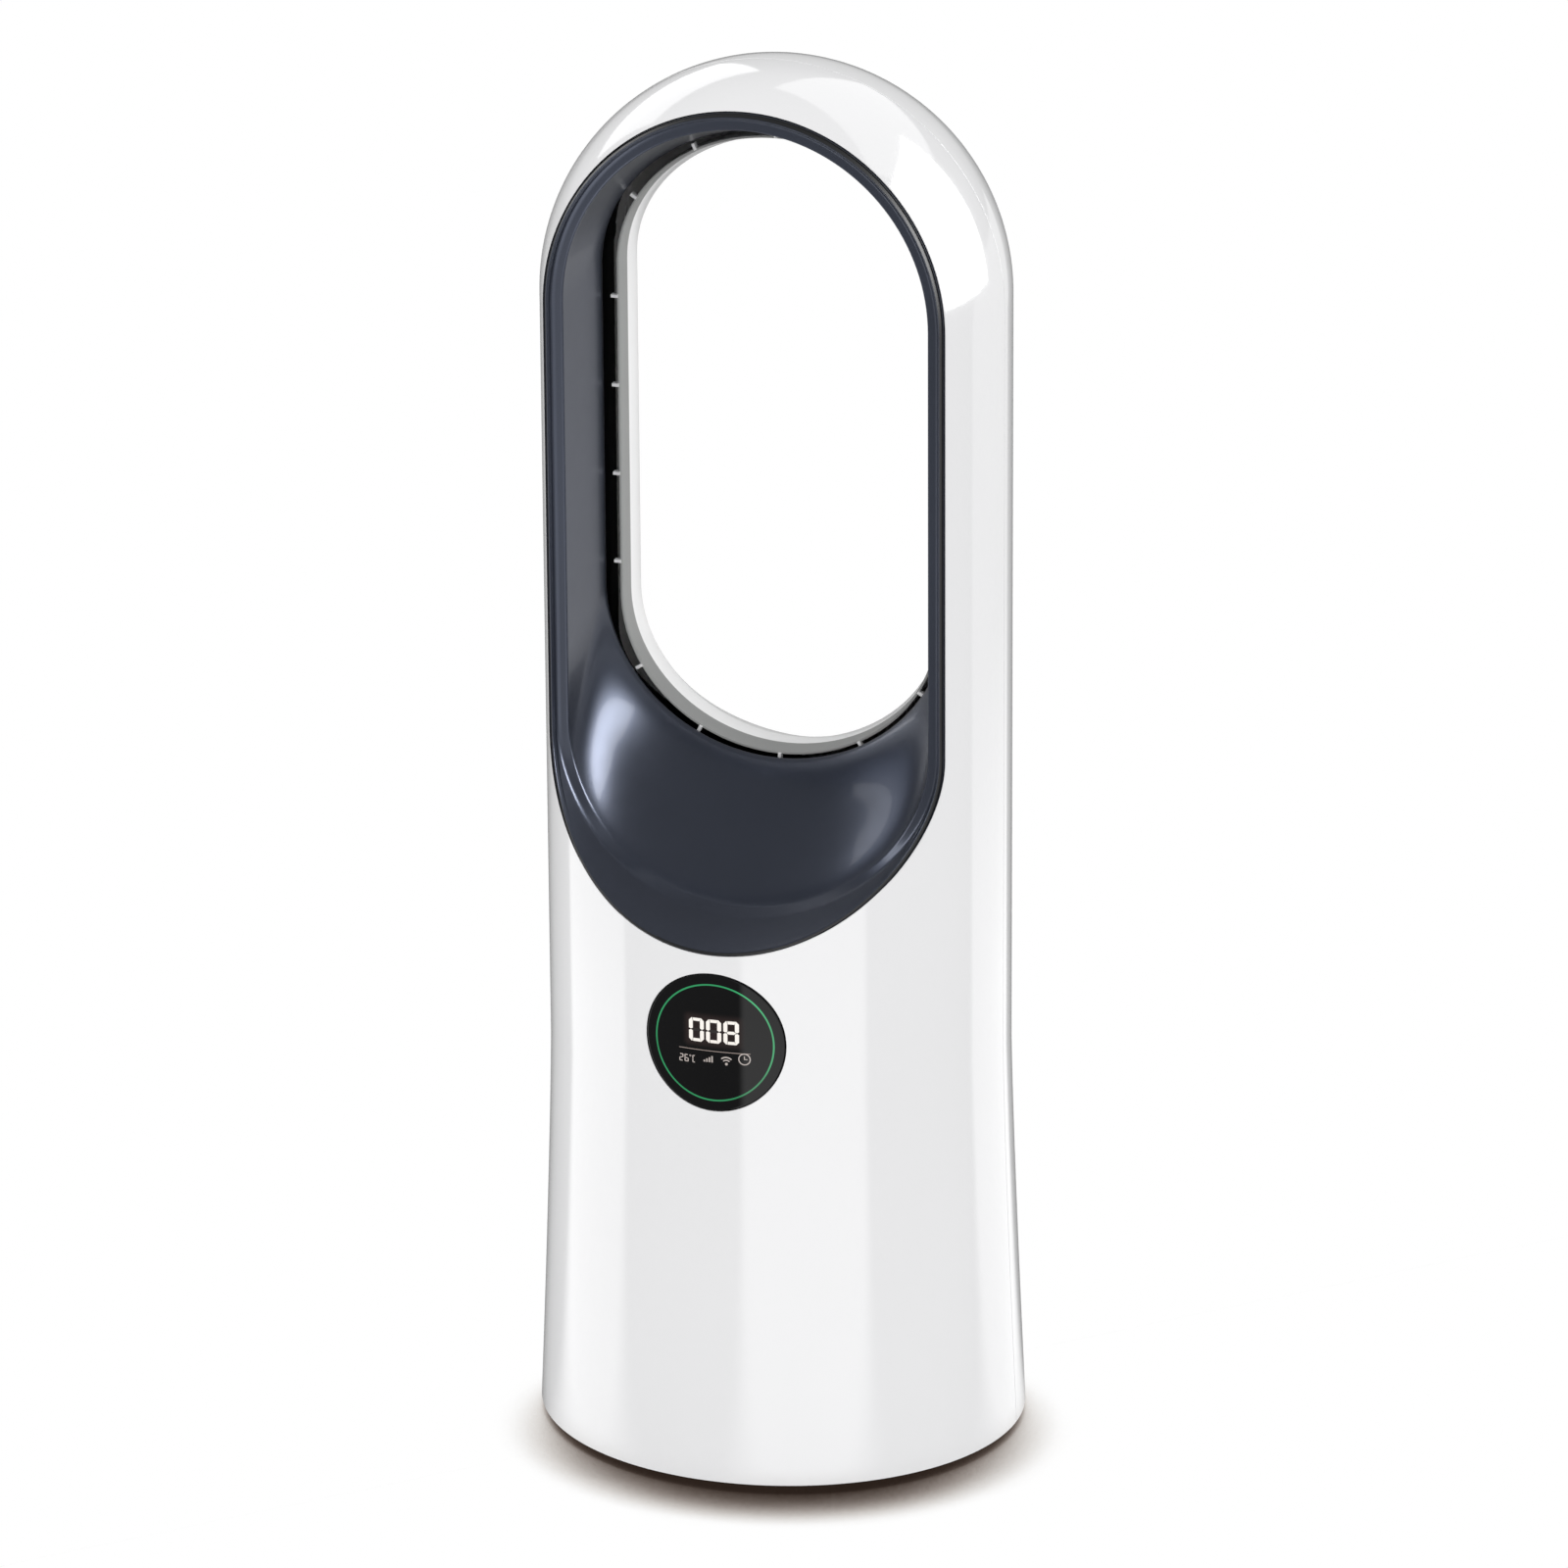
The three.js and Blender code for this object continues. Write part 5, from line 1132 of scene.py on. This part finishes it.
def floor():
    """A white floor. A camera ray sees it at full white, darkened only where the object shades it."""
    half = FLOOR_HALF_SIZE
    corners = [(-half, -half, 0), (half, -half, 0), (half, half, 0), (-half, half, 0)]
    mesh = bpy.data.meshes.new("floor")
    mesh.from_pydata(corners, [], [(0, 1, 2, 3)])
    obj = linked(bpy.data.objects.new("floor", mesh))
    material, nodes, links, bsdf = shader("floor_white")
    bsdf.inputs["Base Color"].default_value = (0.9, 0.9, 0.9, 1)
    bsdf.inputs["Roughness"].default_value = 0.9
    bsdf.inputs["Specular IOR Level"].default_value = 0.0
    calc, make = graph(nodes, links)
    rays = nodes.new("ShaderNodeLightPath")
    # the shade under the edge of the base, which falls towards the front
    lean, away = math.radians(SHADE_LEAN), math.radians(CAMERA_AZIMUTH)
    tilt = make("ShaderNodeCombineXYZ", X=-math.sin(away) * math.sin(lean), Y=math.cos(away) * math.sin(lean),
                Z=math.cos(lean))
    shade = make("ShaderNodeAmbientOcclusion", Distance=SHADE_REACH)
    shade.samples = 24
    links.new(tilt.outputs[0], shade.inputs["Normal"])
    tone = nodes.new("ShaderNodeValToRGB")
    links.new(shade.outputs["AO"], tone.inputs["Fac"])
    ramp = tone.color_ramp
    ramp.elements[0].position, ramp.elements[1].position = SHADE_STOPS[0][0], SHADE_STOPS[-1][0]
    ramp.elements[0].color = linear(SHADE_STOPS[0][1]) + [1]
    ramp.elements[1].color = linear(SHADE_STOPS[-1][1]) + [1]
    for position, colour in SHADE_STOPS[1:-1]:
        ramp.elements.new(position).color = linear(colour) + [1]
    # what a glossy surface sees of the floor: dim, with paler fans of light that stand as bands on the tower
    where = nodes.new("ShaderNodeTexCoord")
    split = make("ShaderNodeSeparateXYZ", Vector=where.outputs["Object"])

    def beside(turn):
        """1 on the anticlockwise side of a line over the floor, 0 on the other. The line runs where the tower
        mirrors it, at an angle from the camera's side."""
        face = math.radians(CAMERA_AZIMUTH + turn)
        way = math.radians(CAMERA_AZIMUTH + 2 * turn)
        x, y = HALF_WIDTH * MM * math.sin(face), -HALF_WIDTH * MM * math.cos(face)
        across = (math.cos(way), math.sin(way))
        along_x = calc("MULTIPLY", split.outputs["X"], across[0])
        along_y = calc("MULTIPLY", split.outputs["Y"], across[1])
        far = calc("ADD", along_x, along_y)
        step = make("ShaderNodeMapRange", Value=calc("SUBTRACT", far, x * across[0] + y * across[1]))
        step.interpolation_type = "SMOOTHSTEP"
        step.inputs["From Min"].default_value = -FAN_SOFTNESS
        step.inputs["From Max"].default_value = FAN_SOFTNESS
        return step.outputs[0]

    reach = calc("POWER", calc("ADD", calc("MULTIPLY", split.outputs["X"], split.outputs["X"]),
                               calc("MULTIPLY", split.outputs["Y"], split.outputs["Y"])), 0.5)
    fade = make("ShaderNodeMapRange", Value=reach)
    fade.inputs["From Min"].default_value, fade.inputs["From Max"].default_value = FAN_FADE
    fade.inputs["To Min"].default_value, fade.inputs["To Max"].default_value = 1.0, FAN_FAR_SHARE
    total = 0.0
    for start, end, level in FANS:
        fan = calc("MULTIPLY", calc("MULTIPLY", beside(start), calc("SUBTRACT", 1.0, beside(end))), level)
        total = calc("ADD", total, fan)
    total = calc("MULTIPLY", total, fade.outputs[0])
    behind = calc("MULTIPLY", beside(FAR_SIDE), calc("SUBTRACT", 1.0, beside(-FAR_SIDE)))
    total = calc("SUBTRACT", total, calc("MULTIPLY", behind, FAR_DARKENING))
    glow = calc("MAXIMUM", calc("ADD", total, FLOOR_GLOSS_LEVEL), 0.02)
    seen = calc("MAXIMUM", rays.outputs["Is Camera Ray"], rays.outputs["Is Transmission Ray"])
    strength = calc("ADD", seen, calc("MULTIPLY", rays.outputs["Is Glossy Ray"], glow))
    emission = make("ShaderNodeEmission", Color=tone.outputs["Color"], Strength=strength)
    either = calc("MAXIMUM", seen, rays.outputs["Is Glossy Ray"])
    mix = make("ShaderNodeMixShader", Fac=either)
    links.new(bsdf.outputs["BSDF"], mix.inputs[1])
    links.new(emission.outputs[0], mix.inputs[2])
    links.new(mix.outputs[0], nodes["Material Output"].inputs["Surface"])
    obj.data.materials.append(material)


# what the lamps point at, in metres
SCOOP_LEFT = (-0.07, -0.03, 0.3)
SCOOP_RIGHT = (0.06, -0.02, 0.29)
RING_LEFT = (-0.07, 0.01, 0.4)
CROWN_RIGHT = (0.05, -0.02, 0.57)
CROWN_LEFT = (-0.05, -0.02, 0.57)


def studio(shells, slate_piece, ring_piece):
    world_light()
    floor()
    softbox("softbox_right", 83, 24, SCOOP_LEFT, 2.4, 1.7, 1.3, 15, slate_piece)
    softbox("softbox_left", -97, 25, SCOOP_RIGHT, 2.6, 1.9, 1.5, 4.0, slate_piece)
    softbox("softbox_ring", 60, 22, RING_LEFT, 2.4, 1.3, 1.3, 3.6, ring_piece, diffuse=True)
    softbox("softbox_arch", 112, 22, SCOOP_LEFT, 2.4, 2.4, 2.2, 6, *shells)
    softbox("softbox_back", 150, 45, CROWN_RIGHT, 2.4, 2.7, 1.7, 1.0, *shells)
    softbox("softbox_back_left", -140, 24, CROWN_LEFT, 2.4, 1.4, 1.0, 1.2, *shells)


# ---------------------------------------------------------------- everything together
camera()
shells = [
    dressed(front_shell(), shell_white, "tower", "shell_white", "front_shell"),
    dressed(rear_shell(), shell_white, "tower", "shell_white", "rear_shell"),
]
# painted shade on the shells' hidden inner side, seen through the slot
for shell in shells:
    dark_inside(shell)
dressed(intake_cover(), shell_white, "rear_cover", "shell_white", "intake_cover")
liner_body = dressed(liner(), slate, "tower", "liner_slate", "throat_liner")
# painted shade along the gap round the window
dark_edge(liner_body)
ring_body, lip_rails = ring()
dressed(ring_body, ring_white, "tower", "ring_white", "nozzle_ring")
# painted shade on the ring's front lip
tone_lip(ring_body, lip_rails, painted_lip_shade)
dressed(spacer_ribs(), ring_white, "tower", "ring_white")
display()

BY_SLOT = {
    "rubber_black": rubber,
    "plastic_black": black_plastic,
    "plastic_grey": grey_plastic,
    "acetal_white": acetal,
    "steel": steel,
    "aluminium": aluminium,
    "brass": brass,
    "board_green": board,
    "filter_paper": paper,
}
for row in frame["record"]["subparts"]:
    node = frame["nodes"][row["node"]]
    material = BY_SLOT.get(row["material_slot"])
    if node.hide_render or material is None:
        continue
    for place in node.material_slots:
        place.material = material

studio(shells, liner_body, ring_body)
bpy.context.scene.view_settings.view_transform = "Standard"
